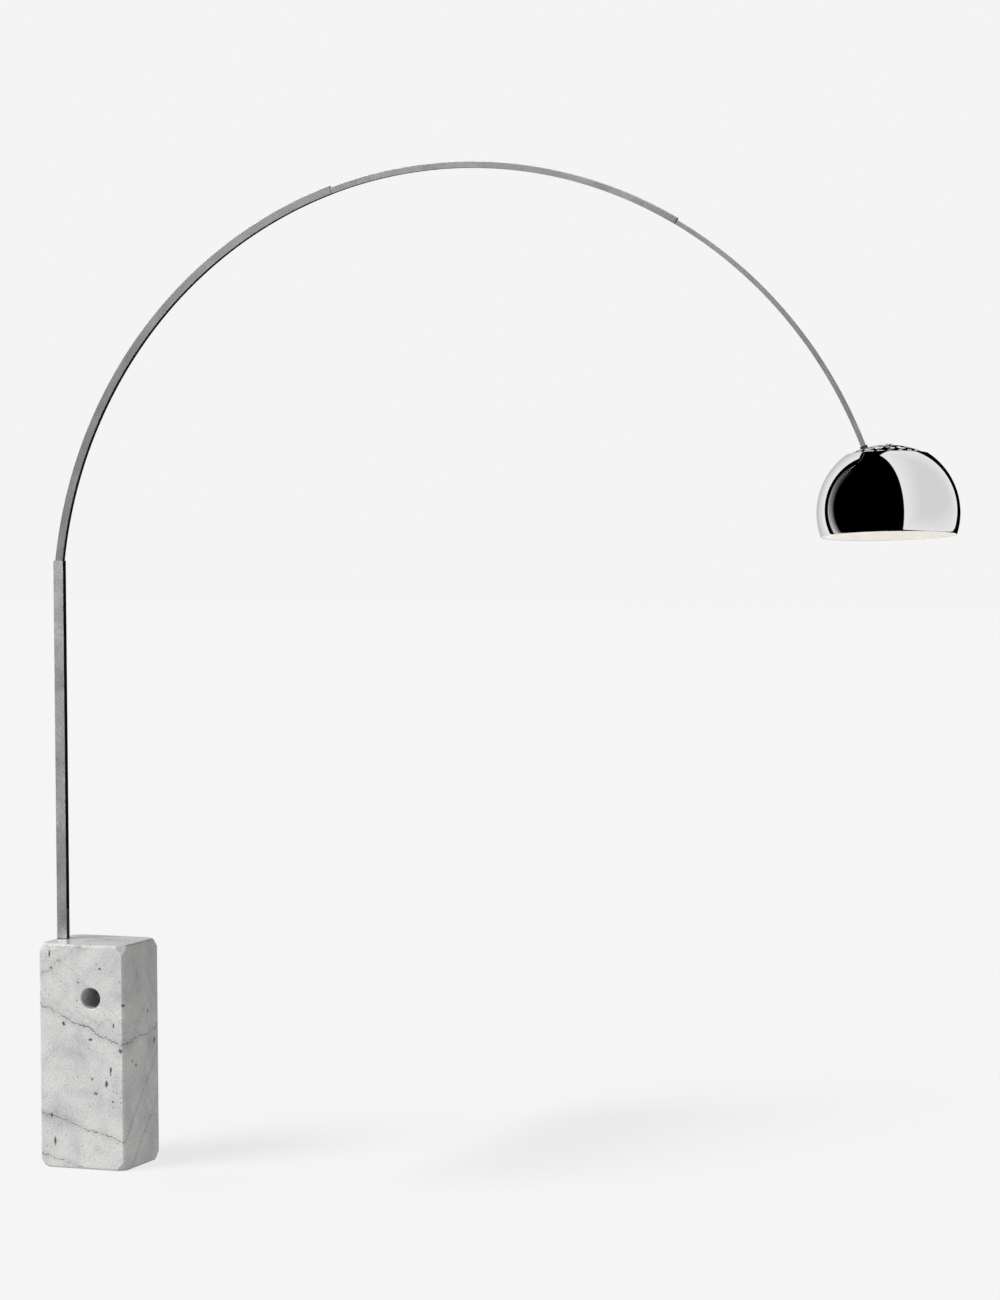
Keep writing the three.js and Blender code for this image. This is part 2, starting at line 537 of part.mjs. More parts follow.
// Profile of the bulb from its lowest point up to the neck, drawn in by the given amount.
function bulbSide(inset) {
  const round = Array.from({ length: 8 }, (_, i) => {
    const angle = rad(-90 + (120 * i) / 7);
    const r = BULB.radius - inset;
    return [i === 0 ? 0 : r * Math.cos(angle), BULB.widest + r * Math.sin(angle)];
  });
  return [...round, [17 - inset, bulbNeck - 16], [14.5 - inset, bulbNeck - 5], [14.2 - inset, bulbNeck]];
}
const bulbProfile = [...bulbSide(0), ...bulbSide(BULB.wall).reverse()];
place(head, 'bulb_glass', turned(bulbProfile), OPAL_GLASS);

// ---------------------------------------------------------------- seat ring and shade bowl

// The ring and the bowl share the shade's centre, so the bowl slides on the cap's round skirt.
const seatOuter = sphereArc(SEAT.outer, SEAT.to, SEAT.from, 2);
const seatInner = sphereArc(SEAT.inner, SEAT.from, SEAT.to, 2);
place(head, 'seat_ring', turned([...seatOuter, ...seatInner, seatOuter[0]], SHADE_SIDES), FELT);

const bowlInner = SHADE.radius - SHADE.wall;
const neckPolar = THREE.MathUtils.radToDeg(Math.asin(SHADE.neck / SHADE.radius));
const rimPolar = 90 + THREE.MathUtils.radToDeg(Math.asin(SHADE.rimDrop / SHADE.radius));
const bowlOuterArc = sphereArc(SHADE.radius, rimPolar, neckPolar, SHADE_STEPS);
const bowlInnerArc = sphereArc(bowlInner, neckPolar, rimPolar, SHADE_STEPS);
const bowlProfile = [...bowlOuterArc, ...bowlInnerArc, bowlOuterArc[0]];
const bowl = place(head, 'shade_bowl', turned(bowlProfile, SHADE_SIDES), POLISHED_ALUMINIUM);
bowl.rotation.set(rad(SHADE_ROLL), rad(SHADE_TILT), 0);

// ---------------------------------------------------------------- lead, held inside all the way

// Part of a circle in the XZ plane, from one angle in degrees to another.
class ArcCurve extends THREE.Curve {
  constructor(x, z, radius, from, to) {
    super();
    Object.assign(this, { x, z, radius, from, to });
  }

  getPoint(t, target = new THREE.Vector3()) {
    const angle = rad(this.from + (this.to - this.from) * t);
    return target.set(this.x + this.radius * Math.cos(angle), 0, this.z + this.radius * Math.sin(angle));
  }
}

const point = (x, z) => new THREE.Vector3(x, 0, z);
const leadRadiusOnArc = ARC.radius - LEAD_DEPTH;
const arcLead = (from, to) => new ArcCurve(ARC.x, ARC.z, leadRadiusOnArc, from, to);
const leanDegrees = THREE.MathUtils.radToDeg(lean);

// From the outlet under the block, round into the hollow rod.
const bendR = 9;
const outletStart = face + grommetLength + GAP;
const footCurve = new THREE.CurvePath();
const bendStart = UPRIGHT.x - bendR;
footCurve.add(new THREE.LineCurve3(point(outletStart, grommetRound.z), point(bendStart, grommetRound.z)));
footCurve.add(new ArcCurve(bendStart, grommetRound.z + bendR, bendR, -90, 0));
lead('lead_foot', footCurve, 7);

// Up through the rod and the upright, easing over to the arc's own line.
const tailLead = tailOuter + LEAD_DEPTH;
const uprightCurve = new THREE.CurvePath();
const leadStart = grommetRound.z + bendR + GAP;
const easeFrom = 660; // height where the lead starts to ease over
uprightCurve.add(new THREE.LineCurve3(point(UPRIGHT.x, leadStart), point(UPRIGHT.x, easeFrom)));
uprightCurve.add(new THREE.LineCurve3(point(UPRIGHT.x, easeFrom), point(tailLead, tailBottom - 40)));
uprightCurve.add(new THREE.LineCurve3(point(tailLead, tailBottom - 40), point(tailLead, tailBottom)));
lead('lead_upright', uprightCurve, 14);

const slackEnds = MOUTHS.slice(0, 2).map((mouth) => mouth + TAIL_LAP + 0.6);
const lowerCurve = new THREE.CurvePath();
lowerCurve.add(new THREE.LineCurve3(point(tailLead, tailBottom + GAP), point(tailLead, bendZ)));
lowerCurve.add(new ArcCurve(bendX, bendZ, bendRadius - LEAD_DEPTH, 180, 180 - leanDegrees));
lowerCurve.add(arcLead(180 - leanDegrees, slackEnds[0] + TRAVEL + 1));
lead('lead_lower', lowerCurve, 22);
lead('lead_lower_slack', arcLead(slackEnds[0] + TRAVEL + 0.97, slackEnds[0]), 7);
lead('lead_middle', arcLead(slackEnds[0] - 0.1, slackEnds[1] + TRAVEL + 1), 13);
lead('lead_middle_slack', arcLead(slackEnds[1] + TRAVEL + 0.97, slackEnds[1]), 7);
lead('lead_end', arcLead(slackEnds[1] - 0.1, MOUTHS[2] + 0.1), 20);

// Out of the arm's end and down to the side of the lampholder.
const armEnd = arcLead(MOUTHS[2] + 0.08, MOUTHS[2]).getPoint(0);
const headPoint = (x, z) => point(SHADE.x + x, SHADE.z + z);
const holderSide = -HOLDER.radius - GAP;
const headCurve = new THREE.CatmullRomCurve3([armEnd, headPoint(-50.2, 121), headPoint(-49.5, 112),
  headPoint(-46, 103), headPoint(-38, 98.5), headPoint(-29, 98), headPoint(holderSide, 98)]);
lead('lead_head', headCurve, 11);

export default lamp;
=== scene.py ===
# Arc floor lamp: the looks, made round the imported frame.
# Metres, +Z up, the arc in the XZ plane and the shade towards +X. Sizes are written in millimetres times MM.
import json
import math

import bmesh
import bpy
import numpy as np
from mathutils import Matrix, Vector


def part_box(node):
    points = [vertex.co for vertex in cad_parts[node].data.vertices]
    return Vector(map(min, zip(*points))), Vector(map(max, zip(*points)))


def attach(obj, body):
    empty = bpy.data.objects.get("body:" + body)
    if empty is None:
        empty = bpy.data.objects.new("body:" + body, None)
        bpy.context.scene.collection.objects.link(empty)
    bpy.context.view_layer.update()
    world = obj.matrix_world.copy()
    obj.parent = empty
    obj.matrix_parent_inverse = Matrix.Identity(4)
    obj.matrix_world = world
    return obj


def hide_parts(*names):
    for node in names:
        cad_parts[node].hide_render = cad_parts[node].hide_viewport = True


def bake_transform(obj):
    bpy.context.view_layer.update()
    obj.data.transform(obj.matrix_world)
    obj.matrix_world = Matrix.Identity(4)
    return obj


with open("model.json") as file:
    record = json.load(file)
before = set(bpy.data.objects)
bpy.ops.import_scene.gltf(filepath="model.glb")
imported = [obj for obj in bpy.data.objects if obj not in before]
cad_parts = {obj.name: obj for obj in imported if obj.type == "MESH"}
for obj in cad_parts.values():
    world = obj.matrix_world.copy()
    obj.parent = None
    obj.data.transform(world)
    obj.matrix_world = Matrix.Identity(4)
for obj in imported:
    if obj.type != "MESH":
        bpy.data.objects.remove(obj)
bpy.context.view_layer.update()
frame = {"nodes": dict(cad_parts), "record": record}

MM = 0.001

# ---------------------------------------------------------------- camera
# A long lens some 9 m away and 1.64 m up, to the right of the lamp's front.

VIEW_YAW, VIEW_PITCH, VIEW_ROLL = 20.673, -2.511, -0.296

yaw, pitch, roll = np.radians([VIEW_YAW, VIEW_PITCH, VIEW_ROLL])
level_right = np.array([math.cos(yaw), math.sin(yaw), 0])
ahead = np.array([-math.sin(yaw) * math.cos(pitch), math.cos(yaw) * math.cos(pitch), math.sin(pitch)])
level_up = np.cross(level_right, ahead)
right = level_right * math.cos(roll) + level_up * math.sin(roll)
up = level_up * math.cos(roll) - level_right * math.sin(roll)
camera = bpy.data.objects.new("camera", bpy.data.cameras.new("camera"))
camera.data.lens = 102.93
camera.data.sensor_width = 36
camera.data.dof.use_dof = False
camera.matrix_world = Matrix(np.column_stack([right, up, -ahead]).tolist()).to_4x4()
camera.location = (4.0948, -8.0755, 1.6406)
bpy.context.scene.collection.objects.link(camera)
bpy.context.scene.camera = camera

# ---------------------------------------------------------------- studio
# A pale floor and background, a soft key light from the front left, a tall white wall of light to the
# right, white behind on the left, and dark towards the camera: this is what the polished bowl mirrors.

bpy.context.scene.view_settings.view_transform = "Standard"
bpy.context.scene.view_settings.look = "None"


def linear(hex_colour):
    """sRGB hex to linear RGBA: (c / 12.92) below 0.04045, else ((c + 0.055) / 1.055) to the power 2.4."""
    c = np.array([int(hex_colour[i : i + 2], 16) for i in (1, 3, 5)]) / 255
    c = np.where(c <= 0.04045, c / 12.92, ((c + 0.055) / 1.055) ** 2.4)
    return (*c.tolist(), 1.0)


def add(tree, kind, inputs=None, stops=None, **settings):
    """Adds a node. Inputs, by name or number, take a value or another node's output; stops fill a ramp."""
    made = tree.nodes.new("ShaderNode" + kind)
    for name, value in settings.items():
        setattr(made, name, value)
    for name, value in (inputs or {}).items():
        if isinstance(value, bpy.types.NodeSocket):
            tree.links.new(value, made.inputs[name])
        else:
            made.inputs[name].default_value = value
    if stops:
        ramp = made.color_ramp.elements
        while len(ramp) < len(stops):
            ramp.new(1.0)
        for element, (position, colour) in zip(ramp, stops):
            element.position = position
            element.color = colour
    return made


BACKGROUND = "#f4f4f4"
BOWL_FACING = 14.7  # degrees from -Y to the direction from the bowl to the camera
WALL_OF_LIGHT = 0.80

world = bpy.data.worlds.new("studio")
world.use_nodes = True
bpy.context.scene.world = world
sky = world.node_tree
sky.nodes.clear()
direction = add(sky, "TexCoord").outputs["Generated"]
facing = add(sky, "Mapping", {"Vector": direction, "Rotation": (0, 0, math.radians(-BOWL_FACING))})
# Planes through the middle of the studio, by their normals in the camera's right, away and up: the
# light wall fills what is in front of three of them, the white backdrop what is in front of two.
WALL_PLANES = [(0.906, 0.423, 0.0), (0.78, -0.55, 0.30), (0.488, -0.217, 0.846)]
BACKDROP_PLANE, BACKDROP_TOP = (0.537, 0.818, -0.208), (-0.8, 0.2, -0.55)


def side_of(plane):
    return add(sky, "VectorMath", {0: facing.outputs[0], 1: plane}, operation="DOT_PRODUCT").outputs["Value"]


def step_up(value, start, end, low=0.0, high=1.0):
    spread = {"Value": value, "From Min": start, "From Max": end, "To Min": low, "To Max": high}
    return add(sky, "MapRange", spread).outputs[0]


def times(a, b):
    return add(sky, "Math", {0: a, 1: b}, operation="MULTIPLY").outputs[0]


inside = [side_of(plane) for plane in WALL_PLANES]
nearest = add(sky, "Math", {0: inside[0], 1: inside[1]}, operation="MINIMUM").outputs[0]
nearest = add(sky, "Math", {0: nearest, 1: inside[2]}, operation="MINIMUM").outputs[0]
wall = times(step_up(nearest, 0.0, 0.012), step_up(nearest, 0.0, 0.5, 1.04, 0.84))
parts = add(sky, "SeparateXYZ", {0: facing.outputs[0]}).outputs
on_left = step_up(parts[0], 0.0, 0.02, 1.0, 0.0)
behind = side_of(BACKDROP_PLANE)
backdrop = times(times(step_up(behind, 0.0, 0.012), step_up(behind, 0.0, 0.6, 1.1, 0.66)), on_left)
backdrop = times(backdrop, step_up(side_of(BACKDROP_TOP), -0.01, 0.01))
strip = times(step_up(behind, -0.43, -0.19), step_up(behind, -0.18, -0.165, 1.0, 0.0))
strip = times(times(strip, step_up(parts[2], -0.5, 0.75, 0.95, 0.0)), on_left)
lit = add(sky, "Math", {0: wall, 1: backdrop}, operation="ADD").outputs[0]
lit = add(sky, "Math", {0: lit, 1: strip}, operation="ADD").outputs[0]
seen = add(sky, "Background", {"Color": linear(BACKGROUND), "Strength": 1.0})
mirrored = add(sky, "Background", {"Color": (1.0, 0.995, 0.985, 1.0), "Strength": times(lit, WALL_OF_LIGHT)})
path = add(sky, "LightPath")
both = add(sky, "MixShader", {0: path.outputs["Is Camera Ray"], 1: mirrored.outputs[0], 2: seen.outputs[0]})
add(sky, "OutputWorld", {"Surface": both.outputs[0]})


def surface(name, points, around=False, along=False, finish=None, uv_scale=(1.0, 1.0)):
    """Quads over a grid of points, rows by columns. around joins the last column to the first, along
    joins the last row to the first. UV is the mean distance travelled on the grid, in metres."""
    rows, columns = points.shape[:2]
    i = np.arange(rows if along else rows - 1)[:, None]
    j = np.arange(columns if around else columns - 1)[None, :]
    steps = [(0, 0), (0, 1), (1, 1), (1, 0)]
    quads = np.stack([((i + a) % rows) * columns + (j + b) % columns for a, b in steps], axis=2)
    mesh = bpy.data.meshes.new(name)
    mesh.from_pydata(points.reshape(-1, 3).tolist(), [], quads.reshape(-1, 4).tolist())
    down = np.linalg.norm(np.roll(points, -1, axis=0) - points, axis=2).mean(axis=1)
    across = np.linalg.norm(np.roll(points, -1, axis=1) - points, axis=2).max(axis=0)
    v = np.concatenate([[0], np.cumsum(down)]) * uv_scale[1]
    u = np.concatenate([[0], np.cumsum(across)]) * uv_scale[0]
    corners = [np.stack(np.broadcast_arrays(u[j + b], v[i + a]), axis=2) for a, b in steps]
    mesh.uv_layers.new(name="along").data.foreach_set("uv", np.stack(corners, axis=2).ravel())
    piece = bpy.data.objects.new(name, mesh)
    bpy.context.scene.collection.objects.link(piece)
    if finish:
        mesh.materials.append(finish)
    return piece


floor_span = np.linspace(-40, 40, 5)
floor_points = np.stack([*np.meshgrid(floor_span, floor_span), np.zeros((5, 5))], axis=2)
floor_finish = bpy.data.materials.new("painted_floor")
floor_finish.use_nodes = True
paint = floor_finish.node_tree
paint.nodes.clear()
# Matt pale paint, lit evenly so that only a faint contact shadow shows.
glow = add(paint, "Emission", {"Color": linear(BACKGROUND), "Strength": 1.0})
matt = add(paint, "BsdfDiffuse", {"Color": linear("#e6e6e6")})
even = add(paint, "MixShader", {0: 0.16, 1: glow.outputs[0], 2: matt.outputs[0]})
add(paint, "OutputMaterial", {"Surface": even.outputs[0]})
floor = surface("floor", floor_points, finish=floor_finish)
floor.visible_glossy = False

key = bpy.data.objects.new("key_light", bpy.data.lights.new("key_light", "SUN"))
key.data.energy = 4.3
key.data.angle = math.radians(34)
key_from = np.array([-0.46, -0.61, 0.645])
key.rotation_mode = "QUATERNION"
key.rotation_quaternion = Vector(key_from.tolist()).to_track_quat("Z", "Y")
bpy.context.scene.collection.objects.link(key)
not_keyed = bpy.data.collections.new("kept_out_of_the_key_light")

# A black flag beside the block keeps the light wall off its right side.
flag_finish = bpy.data.materials.new("black_flag_cloth")
flag_finish.use_nodes = True
flag_finish.node_tree.nodes["Principled BSDF"].inputs["Base Color"].default_value = linear("#080808")
FLAG_X, FLAG_Y, FLAG_Z = 0.62, (-0.3, 0.8), (0.32, 0.9)
flag_y, flag_z = np.meshgrid(FLAG_Y, FLAG_Z)
flag = surface("flag", np.stack([np.full((2, 2), FLAG_X), flag_y, flag_z], axis=2), finish=flag_finish)
flag.visible_camera = False
flag.visible_glossy = False

# ---------------------------------------------------------------- marble block
# One piece of white marble with grey veins, sawn, drilled through for a lifting bar, every edge
# chamfered and its eight corners cut flat, then polished. It stands on its flat underside.

BLOCK = np.array([226, 192, 545]) * MM
CHAMFER, CORNER = 4.5 * MM, 25 * MM
LIFT_X, LIFT_Z, LIFT_R, LIFT_FLARE = 25.5 * MM, 415 * MM, 25 * MM, 2.5 * MM
ROD_X = -95.3 * MM


def block_outline(inset):
    """Eight corners of the block's outline in XZ, at the depth where its sides stand in by side and its
    corners are cut by leg: each corner of the rectangle gives two points, leg apart along each side."""
    side, leg = inset
    half, height = BLOCK[0] / 2 - side, BLOCK[2]
    low, high = side, height - side
    return np.array([
        [half, low + leg], [half, high - leg], [half - leg, high], [leg - half, high],
        [-half, high - leg], [-half, low + leg], [leg - half, low], [half - leg, low],
    ])


def block_rings():
    """Rings of points round the lifting hole, from the bore out over the front, along the sides to the
    back and into the bore again. Each ray from the hole meets every outline at the same share of its side."""
    face = block_outline((CHAMFER, CORNER - 2 * CHAMFER))
    centre = np.array([LIFT_X, LIFT_Z])
    corner_turn = np.unwrap(np.arctan2(*(face - centre).T[::-1]))
    spans = np.append(corner_turn, corner_turn[0] + 2 * math.pi)
    edge = np.concatenate([np.full(count, k) for k, count in enumerate(RAYS)])
    along = np.concatenate([np.arange(count) / count for count in RAYS])
    turn = spans[edge] + (spans[edge + 1] - spans[edge]) * along
    circle = np.stack([np.cos(turn), np.sin(turn)], axis=1)

    start = face[edge]
    side = np.roll(face, -1, axis=0)[edge] - start
    away = centre - start
    cross = side[:, 0] * circle[:, 1] - side[:, 1] * circle[:, 0]
    share = (away[:, 0] * circle[:, 1] - away[:, 1] * circle[:, 0]) / cross
    rings = []
    half = BLOCK[1] / 2
    for y, radius in [(0, LIFT_R), (-half + LIFT_FLARE, LIFT_R), (-half, LIFT_R + LIFT_FLARE)]:
        rings.append((y, centre + circle * radius))
    levels = [
        (0, (CHAMFER, CORNER - 2 * CHAMFER)), (CHAMFER, (0, CORNER - CHAMFER)),
        (CORNER - CHAMFER, (0, CHAMFER)),
    ]
    for y, inset in levels:
        outline = block_outline(inset)
        side = np.roll(outline, -1, axis=0)[edge] - outline[edge]
        rings.append((-half + y, outline[edge] + side * share[:, None]))
    rings += [(-y, ring_points) for y, ring_points in reversed(rings[1:])]
    return np.stack([np.insert(ring_points, 1, y, axis=1) for y, ring_points in rings])


RAYS = [20, 4, 12, 4, 20, 4, 12, 4]  # between one corner of the outline and the next
block = surface("marble_block_polished", block_rings(), around=True, along=True)


def tidy(piece, sharp=30.0):
    """Merges doubled points, turns the faces outwards and shades smooth up to the sharp angle."""
    work = bmesh.new()
    work.from_mesh(piece.data)
    bmesh.ops.remove_doubles(work, verts=work.verts, dist=2e-7)
    bmesh.ops.dissolve_degenerate(work, edges=work.edges, dist=1e-8)
    bmesh.ops.recalc_face_normals(work, faces=work.faces)
    work.to_mesh(piece.data)
    work.free()
    piece.data.polygons.foreach_set("use_smooth", np.ones(len(piece.data.polygons), bool))
    piece.data.set_sharp_from_angle(angle=math.radians(sharp))
    return piece


def fill_ends(piece):
    """Closes the open ends of a piece with one face each and turns the faces outwards."""
    work = bmesh.new()
    work.from_mesh(piece.data)
    bmesh.ops.holes_fill(work, edges=[e for e in work.edges if e.is_boundary], sides=0)
    bmesh.ops.recalc_face_normals(work, faces=work.faces)
    work.to_mesh(piece.data)
    work.free()
    return piece


def lathe(profile, sides):
    """A closed profile of (radius, height) carried round Z: x = r cos a, y = r sin a."""
    angle = np.arange(sides) * 2 * math.pi / sides
    r, z = np.array(profile, float).T
    height = np.repeat(z[:, None], sides, 1)
    return np.stack([np.outer(r, np.cos(angle)), np.outer(r, np.sin(angle)), height], axis=2)


def flat_faces(piece):
    """Normals follow the big flat faces, so that only the rounded edges turn the light."""
    even = piece.modifiers.new("flat_faces", "WEIGHTED_NORMAL")
    even.weight = 100
    even.keep_sharp = True
    return settle(piece)


def settle(piece):
    """Puts the modifiers' result into the piece's own mesh."""
    graph = bpy.context.evaluated_depsgraph_get()
    mesh = bpy.data.meshes.new_from_object(
        piece.evaluated_get(graph), preserve_all_data_layers=True, depsgraph=graph)
    piece.modifiers.clear()
    piece.data = mesh
    return piece


def cut(piece, *cutters):
    """Takes the cutters out of the piece and removes them."""
    for cutter in cutters:
        step = piece.modifiers.new("cut", "BOOLEAN")
        step.operation = "DIFFERENCE"
        step.solver = "EXACT"
        step.object = cutter
    settle(piece)
    for cutter in cutters:
        bpy.data.objects.remove(cutter)
    return piece


def pin(radius, low, high, axis="z", centre=(0, 0, 0), sides=48):
    """Round cutter from low to high along an axis, through centre."""
    rounds = lathe([[0, low], [radius, low], [radius, high], [0, high]], sides)
    order = {"x": [2, 0, 1], "y": [1, 2, 0], "z": [0, 1, 2]}[axis]
    return tidy(surface("cutter", rounds[:, :, order] + np.array(centre), around=True))


def brick(low, high):
    """Box-shaped cutter: a ring of four corners at each end and a point in the middle of each end."""
    (x0, y0, z0), (x1, y1, z1) = low, high
    cx, cy = (x0 + x1) / 2, (y0 + y1) / 2
    corners = np.array([[x0, y0], [x1, y0], [x1, y1], [x0, y1]])
    middle = np.array([[cx, cy]] * 4)
    rows = [(middle, z0), (corners, z0), (corners, z1), (middle, z1)]
    return tidy(surface("cutter", np.stack([np.insert(p, 2, z, axis=1) for p, z in rows]), around=True))


tidy(block)
bevel = block.modifiers.new("polished_edges", "BEVEL")
bevel.width = 0.6 * MM
bevel.segments = 3
bevel.limit_method = "ANGLE"
bevel.angle_limit = math.radians(25)
settle(block)
ROD_HOLE_R, RECESS_R, RECESS_DEPTH = 7 * MM, 13 * MM, 24 * MM
GROOVE_HALF, GROOVE_DEPTH, PAST = 4 * MM, 8 * MM, 2 * MM  # PAST: how far a cutter starts outside the block
cut(
    block,
    pin(ROD_HOLE_R, -PAST, BLOCK[2] + 3 * MM, centre=(ROD_X, 0, 0)),
    pin(RECESS_R, -PAST, RECESS_DEPTH, centre=(ROD_X, 0, 0)),
    brick((-BLOCK[0] / 2 - 3 * MM, -GROOVE_HALF, -PAST), (ROD_X, GROOVE_HALF, GROOVE_DEPTH)),
)
tidy(block, 40)
flat_faces(block)

# Polished white marble: clouded white, grey veins along old cracks, dark flecks, a wet gloss.
marble = bpy.data.materials.new("polished_white_marble")
marble.use_nodes = True
tree = marble.node_tree
tree.nodes.clear()
place = add(tree, "TexCoord").outputs["Object"]

# Warps of the veins: 30 mm wander and 5 mm crackle.
wander = add(tree, "TexNoise", {"Vector": place, "Scale": 16, "Detail": 5, "Roughness": 0.6})
crackle = add(tree, "TexNoise", {"Vector": place, "Scale": 130, "Detail": 4, "Roughness": 0.7})
patches = add(tree, "TexNoise", {"Vector": place, "Scale": 34, "Detail": 3, "Roughness": 0.65})

# Veins: the height at the front left edge, the slopes along X and Y, half width, wander and darkness.
VEINS = [
    (398 * MM, -0.41, 0.12, 1.2 * MM, 0.024, 0.95),
    (137 * MM, -0.29, 1.07, 0.9 * MM, 0.014, 0.85),
    (36 * MM, -0.29, 1.0, 0.8 * MM, 0.012, 0.75),
    (414 * MM, -0.34, 0.3, 0.8 * MM, 0.060, 0.42),
    (470 * MM, 0.55, 0.2, 0.9 * MM, 0.060, 0.55),
    (500 * MM, 0.62, 0.5, 1.2 * MM, 0.060, 0.34),
    (240 * MM, 0.85, -0.4, 0.9 * MM, 0.050, 0.26),
    (560 * MM, -0.9, -0.35, 1.0 * MM, 0.045, 0.30),
]
dark = None
for rise, slope_x, slope_y, width, wandering, depth in VEINS:
    off = add(tree, "VectorMath", {0: place, 1: (-slope_x, -slope_y, 1.0)}, operation="DOT_PRODUCT")
    level = rise - slope_x * -BLOCK[0] / 2 - slope_y * -BLOCK[1] / 2
    middle = add(tree, "MapRange", {
        "Value": wander.outputs[0], "To Min": -wandering - level, "To Max": wandering - level})
    off = add(tree, "Math", {0: off.outputs["Value"], 1: middle.outputs[0]}, operation="ADD")
    fine = add(tree, "MapRange", {"Value": crackle.outputs[0], "To Min": -7 * MM, "To Max": 7 * MM})
    off = add(tree, "Math", {0: off.outputs[0], 1: fine.outputs[0]}, operation="ADD")
    off = add(tree, "Math", {0: off.outputs[0]}, operation="ABSOLUTE")
    line = add(tree, "MapRange", {"Value": off.outputs[0], "From Min": 0.0, "From Max": width * 2.2,
                                  "To Min": depth, "To Max": 0.0})
    broken = add(tree, "MapRange", {"Value": patches.outputs[0], "From Min": 0.34, "From Max": 0.56,
                                    "To Min": 0.30, "To Max": 1.0})
    line = add(tree, "Math", {0: line.outputs[0], 1: broken.outputs[0]}, operation="MULTIPLY")
    halo = add(tree, "MapRange", {"Value": off.outputs[0], "From Min": 0.0, "From Max": width * 16,
                                  "To Min": depth * 0.16, "To Max": 0.0})
    line = add(tree, "Math", {0: line.outputs[0], 1: halo.outputs[0]}, operation="MAXIMUM")
    if dark is not None:
        line = add(tree, "Math", {0: dark.outputs[0], 1: line.outputs[0]}, operation="MAXIMUM")
    dark = line

# Dark mineral flecks: place, half width and half height in millimetres.
FLECKS = [
    ((-84, -96, 520), 2.5, 9), ((-80, -96, 486), 2.5, 6), ((-7, -96, 453), 3.5, 3), ((51, -96, 488), 3, 3),
    ((113, -94, 402), 7, 4), ((104, -96, 292), 5, 6), ((25, -96, 316), 6, 4), ((66, -96, 212), 5, 9),
    ((78, -96, 243), 3.5, 12), ((28, -96, 221), 4, 4), ((38, -96, 186), 6, 4), ((-82, -96, 128), 3, 9),
    ((-73, -96, 66), 3.5, 13), ((83, -96, 168), 3, 3), ((113, 70, 296), 6, 9), ((113, -50, 262), 4, 4),
    ((113, -30, 250), 5, 4), ((113, 35, 372), 4, 5), ((-47, -96, 352), 4, 6), ((86, -96, 352), 3, 7),
    ((40, 96, 330), 5, 9), ((-60, 96, 200), 6, 4), ((-113, 30, 240), 4, 9), ((-113, -40, 420), 5, 5),
    ((20, 10, 545), 7, 4),
]
for centre, half_width, half_height in FLECKS:
    away = add(tree, "VectorMath", {0: place, 1: tuple(c * MM for c in centre)}, operation="SUBTRACT")
    spread = (1000 / half_width, 1000 / half_width, 1000 / half_height)
    away = add(tree, "VectorMath", {0: away.outputs[0], 1: spread}, operation="MULTIPLY")
    away = add(tree, "VectorMath", {0: away.outputs[0]}, operation="LENGTH")
    rough = add(tree, "MapRange", {"Value": crackle.outputs[0], "To Min": -1.1, "To Max": 1.1})
    away = add(tree, "Math", {0: away.outputs["Value"], 1: rough.outputs[0]}, operation="ADD")
    spot = add(tree, "MapRange", {
        "Value": away.outputs[0], "From Min": 0.5, "From Max": 1.15, "To Min": 0.88, "To Max": 0.0})
    dark = add(tree, "Math", {0: dark.outputs[0], 1: spot.outputs[0]}, operation="MAXIMUM")

# Small flecks, one in every few 10 mm cells.
cells = add(tree, "TexVoronoi", {"Vector": place, "Scale": 95, "Randomness": 1.0})
speck = add(tree, "MapRange", {"Value": cells.outputs["Distance"], "From Min": 0.08, "From Max": 0.24,
                               "To Min": 0.7, "To Max": 0.0})
which = add(tree, "SeparateColor", {0: cells.outputs["Color"]})
few = add(tree, "MapRange", {"Value": which.outputs[0], "From Min": 0.62, "From Max": 0.95})
speck = add(tree, "Math", {0: speck.outputs[0], 1: few.outputs[0]}, operation="MULTIPLY")
dark = add(tree, "Math", {0: dark.outputs[0], 1: speck.outputs[0]}, operation="MAXIMUM")

clouds = add(tree, "TexNoise", {
    "Vector": place, "Scale": 9, "Detail": 7, "Roughness": 0.62, "Distortion": 0.6})
white = add(tree, "ValToRGB", {"Fac": clouds.outputs[0]}, stops=[
    (0.30, linear("#9c9d9e")), (0.42, linear("#afafaf")),
    (0.52, linear("#b9b9b8")), (0.66, linear("#c1c1c0"))])
# Crystal grain, drawn about 4 mm across so that it shows.
grain = add(tree, "TexNoise", {"Vector": place, "Scale": 230, "Detail": 3, "Roughness": 0.7})
mottle = add(tree, "MapRange", {
    "Value": grain.outputs[0], "From Min": 0.3, "From Max": 0.7, "To Min": 0.80, "To Max": 1.20})
grained = add(tree, "Mix", {0: 1.0, 6: white.outputs[0], 7: mottle.outputs[0]},
              data_type="RGBA", blend_type="MULTIPLY")
veined = add(tree, "Mix", {0: dark.outputs[0], 6: grained.outputs[2], 7: linear("#26272a")},
             data_type="RGBA")
gloss = add(tree, "MapRange", {"Value": grain.outputs[0], "To Min": 0.08, "To Max": 0.20})
relief = add(tree, "Bump", {"Height": grain.outputs[0], "Strength": 0.05, "Distance": 0.2 * MM})
shader = add(tree, "BsdfPrincipled", {
    "Base Color": veined.outputs[2], "Roughness": gloss.outputs[0],
    "Normal": relief.outputs[0], "IOR": 1.486})
add(tree, "OutputMaterial", {"Surface": shader.outputs[0]})

block.data.materials.clear()
block.data.materials.append(marble)
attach(block, "base")
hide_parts("marble_block")

# ---------------------------------------------------------------- metal, plastic and glass finishes
# The other pieces are of steel, aluminium, brass, nylon, rubber, felt and glass. Every CAD piece takes
# the finish of its slot, and the pieces made below take theirs from here.


